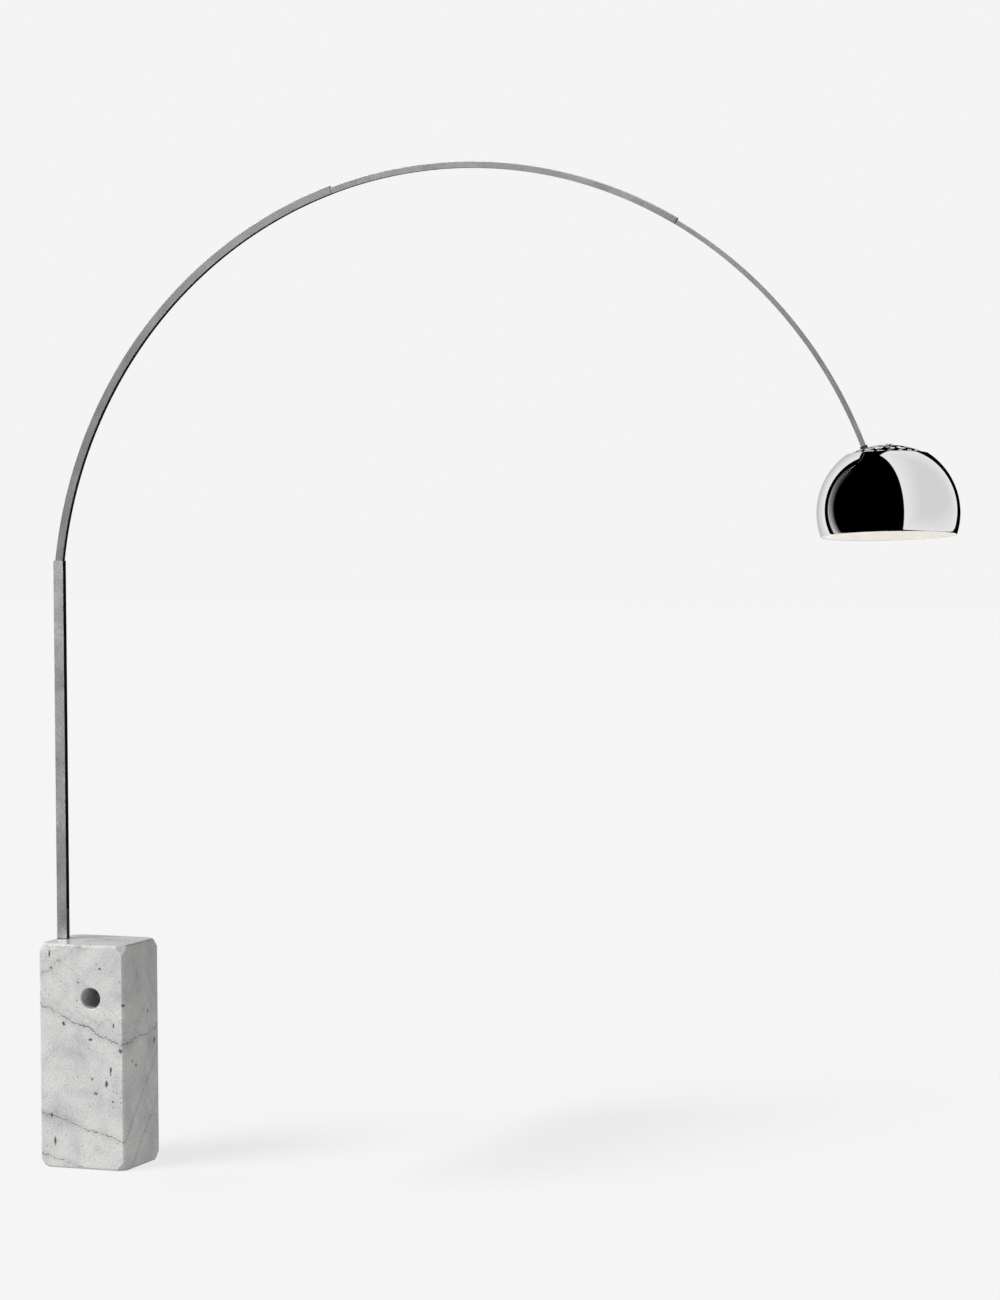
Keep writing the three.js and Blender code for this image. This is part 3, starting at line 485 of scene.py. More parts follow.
def metal(name, colour, rough, along=False, scale=600.0, stretch=30.0, depth=0.02, worn=0.08, tint=0.08):
    """Metal with a worn surface: noise, drawn out along its UV map or left as a fine grain on Object
    coordinates, moves the colour, the roughness and the height."""
    made = bpy.data.materials.new(name)
    made.use_nodes = True
    tree = made.node_tree
    tree.nodes.clear()
    where = add(tree, "TexCoord").outputs["UV" if along else "Object"]
    if along:
        where = add(tree, "Mapping", {"Vector": where, "Scale": (1.0, 1.0 / stretch, 1.0)}).outputs[0]
    fine = add(tree, "TexNoise", {"Vector": where, "Scale": scale, "Detail": 3, "Roughness": 0.6})
    place = add(tree, "TexCoord").outputs["Object"]
    broad = add(tree, "TexNoise", {"Vector": place, "Scale": 14, "Detail": 4})
    base = linear(colour)
    low = tuple(c * (1 - tint) for c in base[:3]) + (1.0,)
    high = tuple(min(1.0, c * (1 + tint)) for c in base[:3]) + (1.0,)
    shade = add(tree, "ValToRGB", {"Fac": fine.outputs[0]}, stops=[(0.3, low), (0.7, high)])
    mixed = add(tree, "Math", {0: fine.outputs[0], 1: broad.outputs[0]}, operation="MULTIPLY")
    dull = add(tree, "MapRange", {"Value": mixed.outputs[0], "From Min": 0.1, "From Max": 0.45,
                                  "To Min": max(0.01, rough - worn), "To Max": rough + worn})
    relief = add(tree, "Bump", {"Height": fine.outputs[0], "Strength": depth, "Distance": 0.1 * MM})
    shader = add(tree, "BsdfPrincipled", {
        "Base Color": shade.outputs[0], "Metallic": 1.0, "Roughness": dull.outputs[0],
        "Normal": relief.outputs[0]})
    add(tree, "OutputMaterial", {"Surface": shader.outputs[0]})
    return made


def moulded(name, colour, rough, scale=900.0, depth=0.15, sheen=0.0, ior=1.5, tint=0.25):
    """Dull pieces: a fine grain in the height and the roughness over a broad, faint change of colour."""
    made = bpy.data.materials.new(name)
    made.use_nodes = True
    tree = made.node_tree
    tree.nodes.clear()
    where = add(tree, "TexCoord").outputs["Object"]
    fine = add(tree, "TexNoise", {"Vector": where, "Scale": scale, "Detail": 3, "Roughness": 0.7})
    broad = add(tree, "TexNoise", {"Vector": where, "Scale": 40, "Detail": 4})
    base = linear(colour)
    low = tuple(c * (1 - tint) for c in base[:3]) + (1.0,)
    high = tuple(min(1.0, c * (1 + tint)) for c in base[:3]) + (1.0,)
    shade = add(tree, "ValToRGB", {"Fac": broad.outputs[0]}, stops=[(0.35, low), (0.65, high)])
    dull = add(tree, "MapRange", {
        "Value": fine.outputs[0], "To Min": max(0.05, rough - 0.1), "To Max": min(1, rough + 0.1)})
    relief = add(tree, "Bump", {"Height": fine.outputs[0], "Strength": depth, "Distance": 0.1 * MM})
    shader = add(tree, "BsdfPrincipled", {
        "Base Color": shade.outputs[0], "Roughness": dull.outputs[0], "Normal": relief.outputs[0],
        "IOR": ior, "Sheen Weight": sheen})
    add(tree, "OutputMaterial", {"Surface": shader.outputs[0]})
    return made


# Satin stainless steel of the arc, with a fine even grain.
satin_steel = metal("brushed_stainless_steel", "#a9a8a6", 0.48, scale=300, depth=0.02, tint=0.08)
# The upright is the same steel as the arc, painted lighter: painted light for how it catches the light, with
# a stronger grain.
lighter_painted_steel = metal("upright_stainless_painted_light", "#dcdcda", 0.46, scale=420, depth=0.05, tint=0.2)
# The inside of the channels is painted near black and dull: painted shade in their hollow.
painted_shade_inside = moulded("painted_shade_channel_inside", "#141414", 0.7)
zinc_plate = metal("zinc_plated_steel", "#a2a6ab", 0.38, scale=500, depth=0.05)
# Spun aluminium, polished to a mirror: only the faintest rings are left.
mirror_aluminium = metal("polished_spun_aluminium", "#fafafb", 0.03, along=True, scale=500, stretch=0.06,
                         depth=0.0015, worn=0.012, tint=0.01)
white_enamel = moulded("white_stove_enamel", "#fbf9f5", 0.32, scale=300, depth=0.05, tint=0.02)
nylon = moulded("moulded_nylon", "#17171a", 0.5, scale=700)
rubber = moulded("moulded_rubber", "#1b1b1c", 0.75, scale=500)
sheath = moulded("cable_sheath", "#101011", 0.5, scale=900)
felt = moulded("pressed_wool_felt", "#4a4a4a", 0.95, scale=1100, depth=0.8, sheen=0.4, tint=0.3)
turned_brass = metal("turned_brass", "#c9a55c", 0.28, scale=800, depth=0.05)
frosted_glass = moulded("frosted_bulb_glass", "#f4f1ea", 0.3, scale=800, depth=0.05, tint=0.01)

FINISH_OF_SLOT = {
    "satin_steel": satin_steel, "zinc_steel": zinc_plate, "polished_aluminium": mirror_aluminium,
    "black_nylon": nylon, "black_rubber": rubber, "black_lead": sheath, "felt": felt,
    "brass": turned_brass, "opal_glass": frosted_glass, "marble": marble,
}
for part in frame["record"]["subparts"]:
    carried = frame["nodes"][part["node"]]
    carried.data.materials.clear()
    carried.data.materials.append(FINISH_OF_SLOT[part["material_slot"]])
# The foot block shows through the open side of the upright; it is painted dark instead of its slot's finish,
# painted shade in the channel's hollow.
frame["nodes"]["foot_block"].data.materials[0] = painted_shade_inside

# ---------------------------------------------------------------- upright and arc channels
# Four open channels of 1.2 mm stainless steel, folded with small outer corners: a straight upright, a
# lower arc whose tail is screwed inside it, and two narrower arcs that slide in one another.

WALL = 1.2 * MM
ARC_X, ARC_Z, ARC_R = 948 * MM, 1340.5 * MM, 1059.5 * MM
ARC_STEP, ARC_DEPTH = 4.5 * MM, 19.5 * MM
SECTION_WIDTHS = [13.4 * MM, 10.3 * MM, 7.2 * MM]
MOUTHS = [107.7, 59.4, 20.56]
TAIL_LAP, TRAVEL, CLAMP_AT = 7, 15, 1.5
UPRIGHT_TOP = 1467 * MM
FOLD = 1.0 * MM  # outer radius of the folded corners


def rounded(points, radii, steps=4):
    """Closed outline with each corner replaced by a curve from radius before it to radius after it:
    (1-s)^2 A + 2 s (1-s) corner + s^2 B."""
    corner = np.array(points, float)
    before = np.roll(corner, 1, axis=0) - corner
    after = np.roll(corner, -1, axis=0) - corner
    before /= np.linalg.norm(before, axis=1)[:, None]
    after /= np.linalg.norm(after, axis=1)[:, None]
    reach = np.broadcast_to(np.array(radii, float), len(corner))[:, None]
    s = np.linspace(0, 1, steps + 1)[None, :, None]
    start, end = (corner + before * reach)[:, None], (corner + after * reach)[:, None]
    curve = (start * (1 - s) ** 2 + corner[:, None] * 2 * s * (1 - s) + end * s**2).reshape(-1, 2)
    keep = np.linalg.norm(curve - np.roll(curve, 1, axis=0), axis=1) > 1e-8
    return curve[keep]


def channel_section(width, web_depth, open_depth):
    """U outline as (across, depth below the outer face), folded corners rounded outside and in."""
    half, inner = width / 2, width / 2 - WALL
    floor_depth = web_depth + WALL
    points = [[-half, web_depth], [half, web_depth], [half, open_depth], [inner, open_depth],
              [inner, floor_depth], [-inner, floor_depth], [-inner, open_depth], [-half, open_depth]]
    edge = 0.25 * MM
    return rounded(points, [FOLD, FOLD, edge, edge, 0.4 * MM, 0.4 * MM, edge, edge])


def channel(name, section, outer, inward, nodes_replaced, body, cutters=()):
    """Section carried along a line in XZ: outer point + depth times inward, across along Y; ends closed."""
    across, depth = section.T
    x = outer[:, None, 0] + depth * inward[:, None, 0]
    z = outer[:, None, 1] + depth * inward[:, None, 1]
    points = np.stack([x, np.broadcast_to(across, x.shape), z], axis=2)
    piece = tidy(fill_ends(surface(name, points, around=True)))
    if cutters:
        cut(piece, *cutters)
        tidy(piece)
    flat_faces(piece)
    piece.data.materials.clear()
    piece.data.materials.append(satin_steel)
    # The second finish is painted shade: the faces inside the channel and its lips are painted dark where
    # shade falls.
    piece.data.materials.append(painted_shade_inside)
    count = len(piece.data.polygons)
    centre = np.zeros(count * 3)
    normal = np.zeros(count * 3)
    piece.data.polygons.foreach_get("center", centre)
    piece.data.polygons.foreach_get("normal", normal)
    centre, normal = centre.reshape(-1, 3), normal.reshape(-1, 3)
    middle = outer + inward * depth.max() / 2
    nearest = np.argmin(np.linalg.norm(centre[:, None, [0, 2]] - middle[None], axis=2), axis=1)
    below = np.einsum("ij,ij->i", centre[:, [0, 2]] - outer[nearest], inward[nearest])
    faces_in = np.einsum("ij,ij->i", normal[:, [0, 2]], inward[nearest])
    side_in = (normal[:, 1] * centre[:, 1] < 0) & (np.abs(normal[:, 1]) > 0.5)
    web_in = (faces_in > 0.5) & (below < depth.max() - 1.5 * MM)
    lips = (faces_in > 0.5) & (np.abs(normal[:, 1]) < 0.5)
    piece.data.polygons.foreach_set("material_index", (side_in | web_in | lips).astype(np.int32))
    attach(piece, body)
    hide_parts(*nodes_replaced)
    return piece


upright_low, upright_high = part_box("upright_channel")
uprights = np.linspace(upright_low.z, upright_high.z, 90)
outer = np.stack([np.full(90, upright_low.x), uprights], axis=1)
inward = np.tile([1.0, 0.0], (90, 1))
half_u = (upright_high.y - upright_low.y) / 2
across_u = upright_high.x - upright_low.x
SCREW_HEIGHTS = [(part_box(n)[0].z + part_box(n)[1].z) / 2 for n in
                 ("foot_screw_1", "foot_screw_2", "arc_foot_screw_1", "arc_foot_screw_2")]
back = upright_low.x


def back_pins(radius, reach, heights):
    return [pin(radius, back - 2 * MM, back + reach, axis="x", centre=(0, 0, z), sides=24) for z in heights]


upright = channel("upright", channel_section(2 * half_u, 0, across_u), outer, inward,
                  ["upright_channel"], "base", back_pins(2.3 * MM, 4 * MM, SCREW_HEIGHTS))
# The upright takes the steel painted lighter, painted light.
upright.data.materials[0] = lighter_painted_steel


def on_arc(degrees, depth=0.0):
    """Points of a circle about the arc's centre, depth below the lower section's outer face."""
    angle = np.radians(degrees)
    radius = ARC_R - depth
    return np.stack([ARC_X + radius * np.cos(angle), ARC_Z + radius * np.sin(angle)], axis=-1)


def arc_inward(degrees):
    angle = np.radians(degrees)
    return -np.stack([np.cos(angle), np.sin(angle)], axis=-1)


lean = math.asin((UPRIGHT_TOP - ARC_Z) / ARC_R)
tail_outer = back + WALL + 0.4 * MM
outer_at_top = ARC_X - ARC_R * math.cos(lean)
bend_r = (outer_at_top - tail_outer) / (1 - math.cos(lean))
bend_x = ARC_X - (ARC_R - bend_r) * math.cos(lean)
bend_z = ARC_Z + (ARC_R - bend_r) * math.sin(lean)
tail_bottom = bend_z - 75 * MM
arc_degrees = np.linspace(MOUTHS[0], 180 - math.degrees(lean), 110)
bend_turn = np.linspace(math.pi - lean, math.pi, 16)[1:]
bend_line = np.stack([bend_x + bend_r * np.cos(bend_turn), bend_z + bend_r * np.sin(bend_turn)], axis=1)
tail_line = np.stack([np.full(8, tail_outer), np.linspace(bend_z, tail_bottom, 9)[1:]], axis=1)
lower_outer = np.concatenate([on_arc(arc_degrees), bend_line, tail_line])
bend_inward = -np.stack([np.cos(bend_turn), np.sin(bend_turn)], axis=1)
lower_inward = np.concatenate([arc_inward(arc_degrees), bend_inward, np.tile([1.0, 0.0], (8, 1))])


def arc_pin(degrees, radius, low, high):
    """Round cutter through an arc channel's web, from low to high depth."""
    piece = pin(radius, -high, -low, sides=32)
    x, z = on_arc(degrees)
    turn = Matrix.Rotation(math.radians(90 - degrees), 4, "Y")
    piece.data.transform(Matrix.Translation((x, 0, z)) @ turn)
    return piece


def arc_slot(degrees_from, degrees_to, low, high, width):
    """Slot cutter along the arc, with round ends: an outline of two half circles joined, in arc length."""
    end = np.linspace(-math.pi / 2, math.pi / 2, 9)
    r = ARC_R - low
    a, b = math.radians(degrees_from), math.radians(degrees_to)
    lengthwise = np.linspace(a, b, 40)
    head = np.stack([b + np.cos(end) * width / 2 / r, np.sin(end) * width / 2], axis=1)
    tail = np.stack([a - np.cos(end) * width / 2 / r, -np.sin(end) * width / 2], axis=1)
    top = np.stack([lengthwise[::-1][1:-1], np.full(38, width / 2)], axis=1)
    bottom = np.stack([lengthwise[1:-1], np.full(38, -width / 2)], axis=1)
    outline = np.concatenate([bottom, head, top, tail])
    rows = []
    for depth in (low, high):
        x = ARC_X + (ARC_R - depth) * np.cos(outline[:, 0])
        z = ARC_Z + (ARC_R - depth) * np.sin(outline[:, 0])
        rows.append(np.stack([x, outline[:, 1], z], axis=1))
    return fill_ends(surface("cutter", np.stack(rows), around=True))


channel("arc_lower_channel", channel_section(SECTION_WIDTHS[0], 0, ARC_DEPTH), lower_outer, lower_inward,
        ["arc_lower"], "base",
        [arc_pin(MOUTHS[0] + CLAMP_AT, 3.3 * MM, -2 * MM, 2.2 * MM),
         *back_pins(2.3 * MM, 5 * MM, SCREW_HEIGHTS[2:])])
for k, body, node in ((1, "middle_arm", "arc_middle"), (2, "end_arm", "arc_end")):
    tail = MOUTHS[k - 1] + TAIL_LAP
    degrees = np.linspace(MOUTHS[k], tail, 90)
    web = k * ARC_STEP
    clamp = MOUTHS[k - 1] + CLAMP_AT
    cutters = [arc_slot(clamp - TRAVEL, clamp, web - 2 * MM, web + 2.2 * MM, 4.6 * MM)]
    if k == 1:
        cutters.append(arc_pin(MOUTHS[1] + CLAMP_AT, 3.3 * MM, web - 2 * MM, web + 2.2 * MM))
    cutters.append(arc_pin(MOUTHS[k - 1] + 4.05, 1.9 * MM, web - 2 * MM, web + 2.2 * MM))
    channel(f"{node}_channel", channel_section(SECTION_WIDTHS[k], web, ARC_DEPTH), on_arc(degrees),
            arc_inward(degrees), [node], body, cutters)

# ---------------------------------------------------------------- perforated cap
# The head's fixed top: a thin spun aluminium dome with three rings of round holes that let the heat out,
# turned down into a round skirt that carries the bowl. Polished inside and outside.

HEAD = np.array([1976 * MM, 0, 1578.5 * MM])
SKIRT_R, DOME_R, CAP_APEX, CAP_WALL, SKIRT_END = 156.5 * MM, 190 * MM, 151.9 * MM, 1.2 * MM, 52
CAP_RINGS = [(24.5 * MM, 6), (49 * MM, 12), (73.5 * MM, 18)]


def ball_arc(radius, start, end, count):
    """Points of a circle about the origin, by degrees from the vertical."""
    polar = np.radians(np.linspace(start, end, count))
    return np.stack([radius * np.sin(polar), radius * np.cos(polar)], axis=1)


dome_centre = CAP_APEX - DOME_R
meet_cos = (DOME_R**2 - SKIRT_R**2 - dome_centre**2) / (-2 * SKIRT_R * dome_centre)
meet = math.degrees(math.acos(meet_cos))
meet_radius = SKIRT_R * math.sin(math.radians(meet))
bore = 5.3 * MM
dome_out = np.linspace(meet_radius, bore, 40)[1:]
dome_in = np.linspace(bore, meet_radius - CAP_WALL, 40)
cap_profile = np.concatenate([
    ball_arc(SKIRT_R, SKIRT_END, meet, 14),
    np.stack([dome_out, dome_centre + np.sqrt(DOME_R**2 - dome_out**2)], axis=1),
    np.stack([dome_in, dome_centre + np.sqrt((DOME_R - CAP_WALL) ** 2 - dome_in**2)], axis=1),
    ball_arc(SKIRT_R - CAP_WALL, meet + 0.5, SKIRT_END, 14),
])
cap = tidy(surface("cap", lathe(cap_profile, 144) + HEAD, around=True, along=True, finish=mirror_aluminium))
cap_cutters = []
for ring_radius, count in CAP_RINGS:
    for turn in np.radians(-70 + 360 * np.arange(count) / count):
        at = HEAD + [ring_radius * math.cos(turn), ring_radius * math.sin(turn), 0]
        cap_cutters.append(pin(10 * MM, 110 * MM, 155 * MM, centre=at, sides=32))
joined = cap_cutters[0]
with bpy.context.temp_override(
        active_object=joined, selected_editable_objects=cap_cutters, selected_objects=cap_cutters):
    bpy.ops.object.join()
cut(cap, joined)
arm_low = on_arc(np.linspace(20, 23, 4), 2 * ARC_STEP - 2.4 * MM)
arm_high = on_arc(np.linspace(20, 23, 4), ARC_DEPTH + 2.4 * MM)[::-1]
window = np.concatenate([arm_low, arm_high])
window_rows = np.stack([np.insert(window, 1, y, axis=1) for y in (-6 * MM, 6 * MM)])
cut(cap, fill_ends(surface("cutter", window_rows, around=True)))
tidy(cap, 35)


def enamel_inside(piece, centre, split_radius):
    """Faces whose middle is nearer to the centre than split_radius take the second finish."""
    count = len(piece.data.polygons)
    middle = np.zeros(count * 3)
    piece.data.polygons.foreach_get("center", middle)
    away = np.linalg.norm(middle.reshape(-1, 3) - centre, axis=1)
    piece.data.materials.append(white_enamel)
    piece.data.polygons.foreach_set("material_index", (away < split_radius).astype(np.int32))


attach(cap, "end_arm")
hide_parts("perforated_cap")

# ---------------------------------------------------------------- seat ring
# A thin ring of pressed felt glued inside the bowl's neck; the bowl slides on it over the cap's skirt.

seat_profile = np.concatenate([ball_arc(157.9 * MM, 46, 36.5, 10), ball_arc(157.1 * MM, 36.5, 46, 10)])
seat = tidy(surface("felt_seat_ring", lathe(seat_profile, 144) + HEAD, around=True, along=True, finish=felt))
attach(seat, "seat")
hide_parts("seat_ring")

# ---------------------------------------------------------------- bowl shade
# A bowl spun from one aluminium disc, open at neck and rim, mirror-polished outside and enamelled white
# inside. It rests on the seat ring, so it can be tipped; it stands slightly tipped, near side up.

BOWL_R, BOWL_WALL = 160 * MM, 1.5 * MM
neck = math.degrees(math.asin(91 / 160))
rim = 90 + math.degrees(math.asin(52 / 160))


edge_angle = math.degrees(BOWL_WALL / 2 / BOWL_R)
turns = np.linspace(0, math.pi, 9)[1:-1]
mid_r, half_wall = BOWL_R - BOWL_WALL / 2, BOWL_WALL / 2


def half_round(polar, outwards, from_outside):
    """Half circle of the wall's thickness that closes an edge, bulging along the meridian."""
    r = mid_r + half_wall * np.cos(turns) * (1 if from_outside else -1)
    angle = np.radians(polar + outwards * edge_angle * (np.sin(turns) - 1))
    return np.stack([r * np.sin(angle), r * np.cos(angle)], axis=1)


bowl_profile = np.concatenate([
    ball_arc(BOWL_R, rim - edge_angle, neck + edge_angle, 90),
    half_round(neck, -1, True),
    ball_arc(BOWL_R - BOWL_WALL, neck + edge_angle, rim - edge_angle, 90),
    half_round(rim, 1, False),
])
bowl = surface("bowl", lathe(bowl_profile, 224), around=True, along=True, finish=mirror_aluminium)
TIP_X, TIP_Y = -4.3, -2.3  # degrees
tip = Matrix.Rotation(math.radians(TIP_X), 4, "X") @ Matrix.Rotation(math.radians(TIP_Y), 4, "Y")
tip = Matrix.Translation(HEAD.tolist()) @ tip
bowl.data.transform(tip)
tidy(bowl, 60)
enamel_inside(bowl, HEAD, BOWL_R - BOWL_WALL * 0.9)
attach(bowl, "shade")
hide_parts("shade_bowl")

# The bulb's own faint light, which warms the white inside of the bowl.
bulb_glow = bpy.data.objects.new("bulb_glow", bpy.data.lights.new("bulb_glow", "POINT"))
bulb_glow.data.energy = 0.17
bulb_glow.data.color = (1.0, 0.955, 0.90)
bulb_glow.data.shadow_soft_size = 0.02
bulb_glow.location = (HEAD + [0, 0, -0.035]).tolist()
bpy.context.scene.collection.objects.link(bulb_glow)
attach(bulb_glow, "end_arm")

for shiny in (bowl, cap):
    not_keyed.objects.link(shiny)
key.light_linking.receiver_collection = not_keyed
for member in not_keyed.collection_objects:
    member.light_linking.link_state = "EXCLUDE"

# ---------------------------------------------------------------- screws
# Zinc-plated steel: pan-head screws with a cross through the upright's back into the foot block and the
# arc's tail, and flat-headed slotted clamp screws set into the two mouths.


def screw(name, profile, radii, onto, body, crossed, slot_width=0.9 * MM, slot_depth=1.0 * MM):
    """Turned profile from the shank's end up to the head's middle, its head at the top, cut by a slot or a
    cross and then carried onto its place."""
    outline = rounded_open(np.array(profile) * MM, radii)
    piece = tidy(surface(name, lathe(outline, 40), around=True, finish=zinc_plate))
    top = outline[:, 1].max()
    reach = outline[:, 0].max() * (0.62 if crossed else 1.3)
    half = slot_width / 2
    cutters = [brick((-reach, -half, top - slot_depth), (reach, half, top + MM))]
    if crossed:
        cutters.append(brick((-half, -reach, top - slot_depth * 0.98), (half, reach, top + MM)))
    cut(piece, *cutters)
    piece.data.transform(onto)
    tidy(piece, 35)
    flat_faces(piece)
    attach(piece, body)
    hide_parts(name)
    piece.name = name + "_finished"
    return piece


def rounded_open(points, radii, steps=4):
    """Open profile with each inner corner replaced by the same curve as in rounded(); its ends stay."""
    inner = rounded(points, [0.001 * MM, *np.array(radii) * MM, 0.001 * MM], steps)
    start = np.argmin(np.linalg.norm(inner - points[0], axis=1))
    inner = np.roll(inner, -start, axis=0)
    from_start = np.linalg.norm(inner - points[0], axis=1)
    from_end = np.linalg.norm(inner - points[-1], axis=1)
    keep = (from_start > 0.01 * MM) & (from_end > 0.01 * MM)
    return np.concatenate([points[:1], inner[keep], points[-1:]])


PAN_HEAD = [[0, 0], [1.9, 0], [1.9, 7.3], [3.6, 7.3], [3.4, 8.6], [2.0, 9.2], [0, 9.2]]
for node in ("foot_screw_1", "foot_screw_2", "arc_foot_screw_1", "arc_foot_screw_2"):
    low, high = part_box(node)
    onto = Matrix.Translation((high.x, 0, (low.z + high.z) / 2))
    onto = onto @ Matrix.Rotation(math.radians(-90), 4, "Y")
    shorter = (9.2 - (high.x - low.x) / MM)
    profile = [[r, max(z - shorter, 0) if z else 0] for r, z in PAN_HEAD]
    screw(node, profile, [0.2, 0.1, 0.3, 0.8, 0.6], onto, "base", True)
for k, node, body, shank in (
        (0, "lower_clamp_screw", "base", 2.0), (1, "middle_clamp_screw", "middle_arm", 1.4)):
    bottom = (k + 1) * 4.5 + 1.2 + 0.3 + 2.5 + 0.2
    top = k * 4.5 + 0.1
    under_head = -top - 0.9
    profile = [[0, -bottom], [shank, -bottom], [shank, under_head], [3.0, under_head], [3.0, -top], [0, -top]]
    at = on_arc(MOUTHS[k] + CLAMP_AT)
    onto = Matrix.Translation((at[0], 0, at[1]))
    onto = onto @ Matrix.Rotation(math.radians(90 - MOUTHS[k] - CLAMP_AT), 4, "Y")
    screw(node, profile, [0.2, 0.1, 0.15, 0.15], onto, body, False, slot_width=0.8 * MM, slot_depth=0.45 * MM)

# ---------------------------------------------------------------- nipple, cap nut and lampholder
# A threaded steel tube holds the cap, the bracket and the lampholder together; a knurled nut closes it on
# top of the cap. The lampholder is moulded nylon with a gripped ring; its bulb has a threaded brass cap.


def threaded(radius, depth, pitch, low, high, sides=64, per_turn=10):
    """Outside of a screw: the radius falls by depth times (1 - cos(2 pi z / pitch - a)) / 2, and the
    thread runs out over one pitch at both ends."""
    rows = int((high - low) / pitch * per_turn)
    z = np.linspace(low, high, rows)[:, None]
    a = (np.arange(sides) * 2 * math.pi / sides)[None, :]
    fade = np.clip(np.minimum(z - low, high - z) / pitch, 0, 1)
    r = radius - depth * (0.5 + 0.5 * fade * -np.cos(2 * math.pi * z / pitch - a))
    return np.stack([r * np.cos(a), r * np.sin(a), np.broadcast_to(z, r.shape)], axis=2)


def head_piece(name, points, node, finish, around=True, along=False, sharp=35.0):
    piece = tidy(surface(name, points + HEAD, around=around, along=along, finish=finish), sharp)
    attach(piece, "end_arm")
    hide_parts(node)
    return piece


nipple_low, nipple_high = [corner.z - HEAD[2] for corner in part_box("head_nipple")]
inside_rows = lathe([[3 * MM, nipple_high], [3 * MM, nipple_low]], 64)
nipple_rows = np.concatenate([threaded(5 * MM, 0.5 * MM, 1.0 * MM, nipple_low, nipple_high), inside_rows])
head_piece("threaded_nipple", nipple_rows, "head_nipple", zinc_plate, along=True)


def knurled(profile, sides, grips, depth, from_radius):
    """Turned profile whose outer points move in and out: r - depth (1 - cos(grips a)) / 2."""
    points = lathe(profile, sides)
    a = np.arange(sides) * 2 * math.pi / sides
    share = (np.array(profile)[:, 0] > from_radius)[:, None] * depth * (1 - np.cos(grips * a))[None, :] / 2
    points[:, :, 0] -= share * np.cos(a)
    points[:, :, 1] -= share * np.sin(a)
    return points


nut_low, nut_high = [corner.z - HEAD[2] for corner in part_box("cap_nut")]
nut_outline = rounded([[bore, nut_low], [9.5 * MM, nut_low], [8.6 * MM, nut_high], [bore, nut_high]],
                      [0.15 * MM, 0.3 * MM, 0.5 * MM, 0.15 * MM])
head_piece("knurled_cap_nut", knurled(nut_outline, 240, 40, 0.35 * MM, 8 * MM), "cap_nut",
           zinc_plate, along=True)

holder = np.array([
    [14.6, 62], [18.5, 62], [19.0, 68], [18.6, 69], [18.6, 71], [19.2, 72], [20.5, 88], [20.5, 98.5],
    [20.0, 99], [20.0, 100.5],
    [20.5, 101], [20.5, 106], [15.5, 112], [5.3, 112], [5.3, 105], [14.6, 105]]) * MM
holder_radii = np.array([0.5, 0.6, 0.3, 0.2, 0.2, 0.3, 1.5, 0.1, 0.1, 0.1, 0.1, 1.5, 2.0, 0.4, 0.4, 0.4]) * MM
head_piece("lampholder", lathe(rounded(holder, holder_radii), 96), "lampholder_body",
           nylon, along=True)
ring_outline = rounded(np.array([[20.8, 89], [25.5, 89], [25.5, 94], [20.8, 94]]) * MM, 0.6 * MM)
head_piece("lampholder_grip_ring", knurled(ring_outline, 288, 36, 0.8 * MM, 23 * MM), "lampholder_ring",
           nylon, along=True)
cap_rows = threaded(13.2 * MM, 1.1 * MM, 3.6 * MM, 62 * MM, 85 * MM, sides=72, per_turn=14)
cap_top = lathe(np.array([
    [12.0, 86], [5, 89], [0.01, 89], [0.01, 87.8], [4.4, 87.8], [11.6, 84.8], [11.4, 62]]) * MM, 72)
head_piece("bulb_screw_cap", np.concatenate([cap_rows, cap_top]), "bulb_cap", turned_brass,
           along=True)


def bulb_side(inset):
    """Bulb from its lowest point: part of a circle, then an S-curve in to the neck by a cosine."""
    polar = np.radians(np.linspace(-90, 32, 30))
    r = 30 - inset
    ball = np.stack([np.maximum(r * np.cos(polar), 0.01), 16 + r * np.sin(polar)], axis=1)
    t = np.linspace(0, 1, 16)[1:]
    start, end = ball[-1], np.array([14.2 - inset, 61.7])
    sweep = start[0] + (end[0] - start[0]) * (0.5 - 0.5 * np.cos(math.pi * t**0.8))
    return np.concatenate([ball, np.stack([sweep, start[1] + (end[1] - start[1]) * t], axis=1)]) * MM


bulb_profile = np.concatenate([bulb_side(0), bulb_side(1.2)[::-1]])
head_piece("bulb", lathe(bulb_profile, 96), "bulb_glass", frosted_glass, along=True, sharp=50)

# ---------------------------------------------------------------- lead
# A round black lead 4 mm thick that runs inside the channels from the foot to the lampholder, with some
# slack behind each sliding tail.

LEAD_R, LEAD_DEPTH = 2 * MM, 16.2 * MM


def lead(name, path, body, gathered_to=None):
    """Circle of the lead's radius carried along a line in the XZ plane, square to it, its ends closed.
    Without gathered_to it goes with body; with gathered_to it goes with no body and its place is baked into
    its points."""
    tangent = np.gradient(path, axis=0)
    tangent /= np.linalg.norm(tangent, axis=1)[:, None]
    side = np.stack([-tangent[:, 1], tangent[:, 0]], axis=1)
    a = np.arange(20) * 2 * math.pi / 20
    out = LEAD_R * np.cos(a)[None, :]
    x = path[:, 0, None] + side[:, 0, None] * out
    z = path[:, 1, None] + side[:, 1, None] * out
    y = np.broadcast_to(LEAD_R * np.sin(a)[None, :], x.shape)
    rows = np.stack([x, y, z], axis=2)
    ends = [np.repeat(np.insert(end, 1, 0.0)[None, None], 20, 1) for end in (path[0], path[-1])]
    tube = np.concatenate([ends[0], rows, ends[1]])
    piece = tidy(surface(name + "_round", tube, around=True, finish=sheath), 50)
    if gathered_to:
        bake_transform(piece)
    else:
        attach(piece, body)
    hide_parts(name)
    return piece


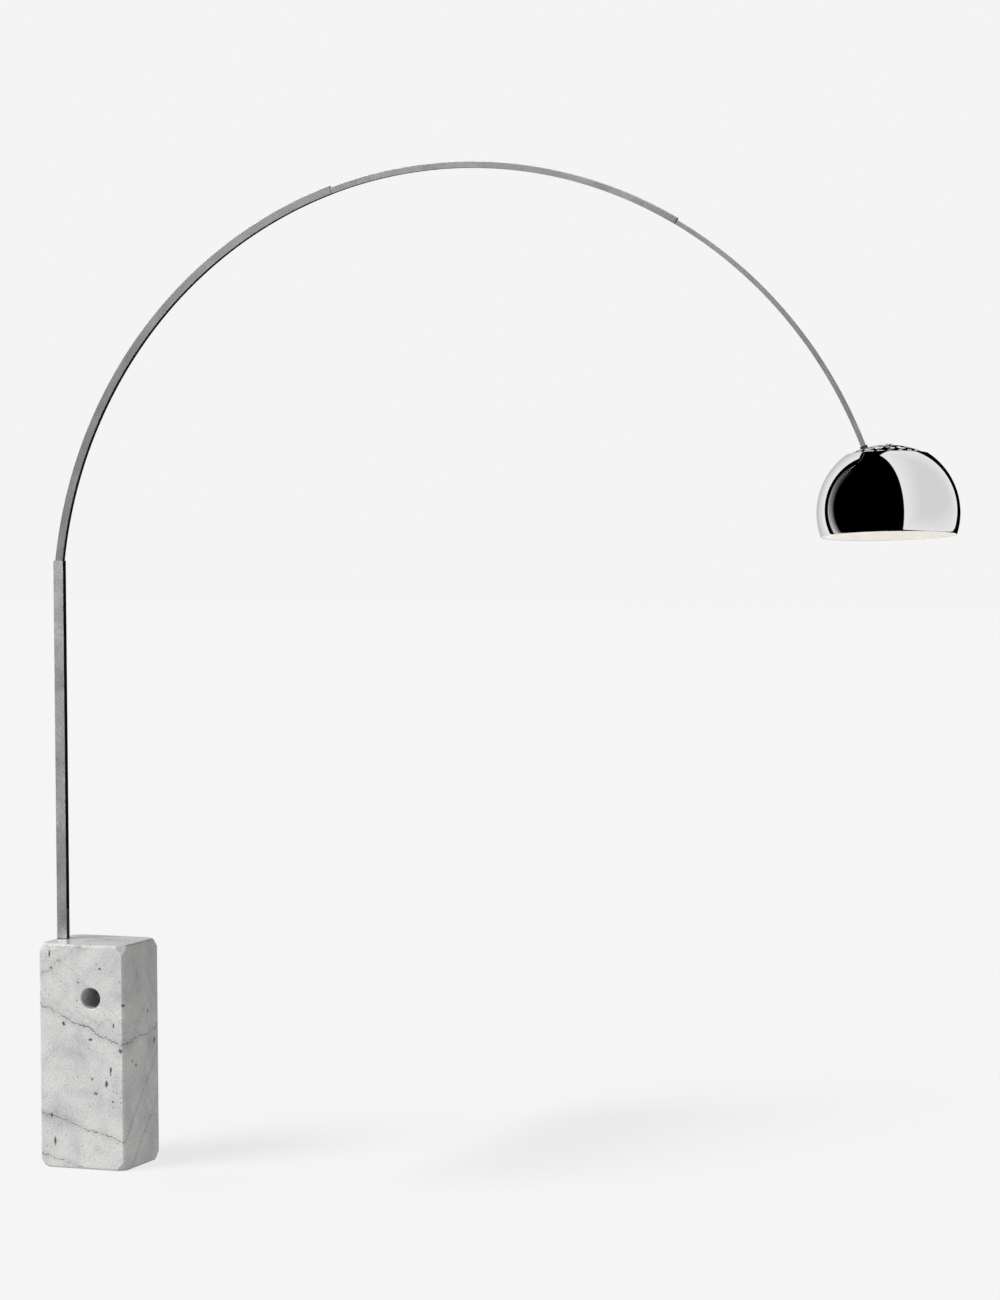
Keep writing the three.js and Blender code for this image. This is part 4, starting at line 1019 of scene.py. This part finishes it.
def smooth_path(points, count):
    """Curve through the points: each stretch blends its two ends and their neighbours by cubics."""
    p = np.array(points, float)
    p = np.concatenate([2 * p[:1] - p[1:2], p, 2 * p[-1:] - p[-2:-1]])
    t = np.linspace(0, len(p) - 3, count)
    k = np.minimum(t.astype(int), len(p) - 4)
    u = (t - k)[:, None]
    a, b, c, d = p[k], p[k + 1], p[k + 2], p[k + 3]
    return 0.5 * (2 * b + (c - a) * u + (2 * a - 5 * b + 4 * c - d) * u**2 + (3 * b - 3 * c + d - a) * u**3)


tail_lead = tail_outer + LEAD_DEPTH
slack = [mouth + TAIL_LAP + 0.6 for mouth in MOUTHS[:2]]
lean_degrees = math.degrees(lean)
upright_lead_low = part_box("lead_upright")[0].z
upright_points = [[ROD_X, upright_lead_low], [ROD_X, 0.30], [ROD_X, 0.66], [ROD_X, 0.80],
                  [tail_lead, 1.20], [tail_lead, tail_bottom]]
lead("lead_upright", smooth_path(upright_points, 160), "base")
turn = np.linspace(math.pi, math.pi - lean, 12)
bend_r_lead = bend_r - LEAD_DEPTH
lower_path = np.concatenate([
    np.stack([np.full(8, tail_lead), np.linspace(tail_bottom + 0.3 * MM, bend_z, 8)], axis=1),
    np.stack([bend_x + bend_r_lead * np.cos(turn), bend_z + bend_r_lead * np.sin(turn)], axis=1)[1:],
    on_arc(np.linspace(180 - lean_degrees, slack[0] + TRAVEL + 1, 90), LEAD_DEPTH)[1:]])
lead("lead_lower", lower_path, "base")
lower_slack = on_arc(np.linspace(slack[0] + TRAVEL + 0.97, slack[0], 60), LEAD_DEPTH)
lead("lead_lower_slack", lower_slack, "base", "middle_arm")
middle_line = on_arc(np.linspace(slack[0] - 0.1, slack[1] + TRAVEL + 1, 70), LEAD_DEPTH)
lead("lead_middle", middle_line, "middle_arm")
middle_slack = on_arc(np.linspace(slack[1] + TRAVEL + 0.97, slack[1], 60), LEAD_DEPTH)
lead("lead_middle_slack", middle_slack, "middle_arm", "end_arm")
lead("lead_end", on_arc(np.linspace(slack[1] - 0.1, MOUTHS[2] + 0.1, 80), LEAD_DEPTH), "end_arm")
arm_end = on_arc(MOUTHS[2], LEAD_DEPTH)
head_xz = np.array([HEAD[0], HEAD[2]])
head_turns = [head_xz + np.array(point) * MM for point in
              ([-50.2, 121], [-49.5, 112], [-46, 103], [-38, 98.5], [-29, 98], [-20.8, 98])]
lead("lead_head", smooth_path([arm_end, *head_turns], 60), "end_arm")

# The end arm is left out of mirror reflections, so the bowl does not show the arm above it.
bpy.data.objects["arc_end_channel"].visible_glossy = False
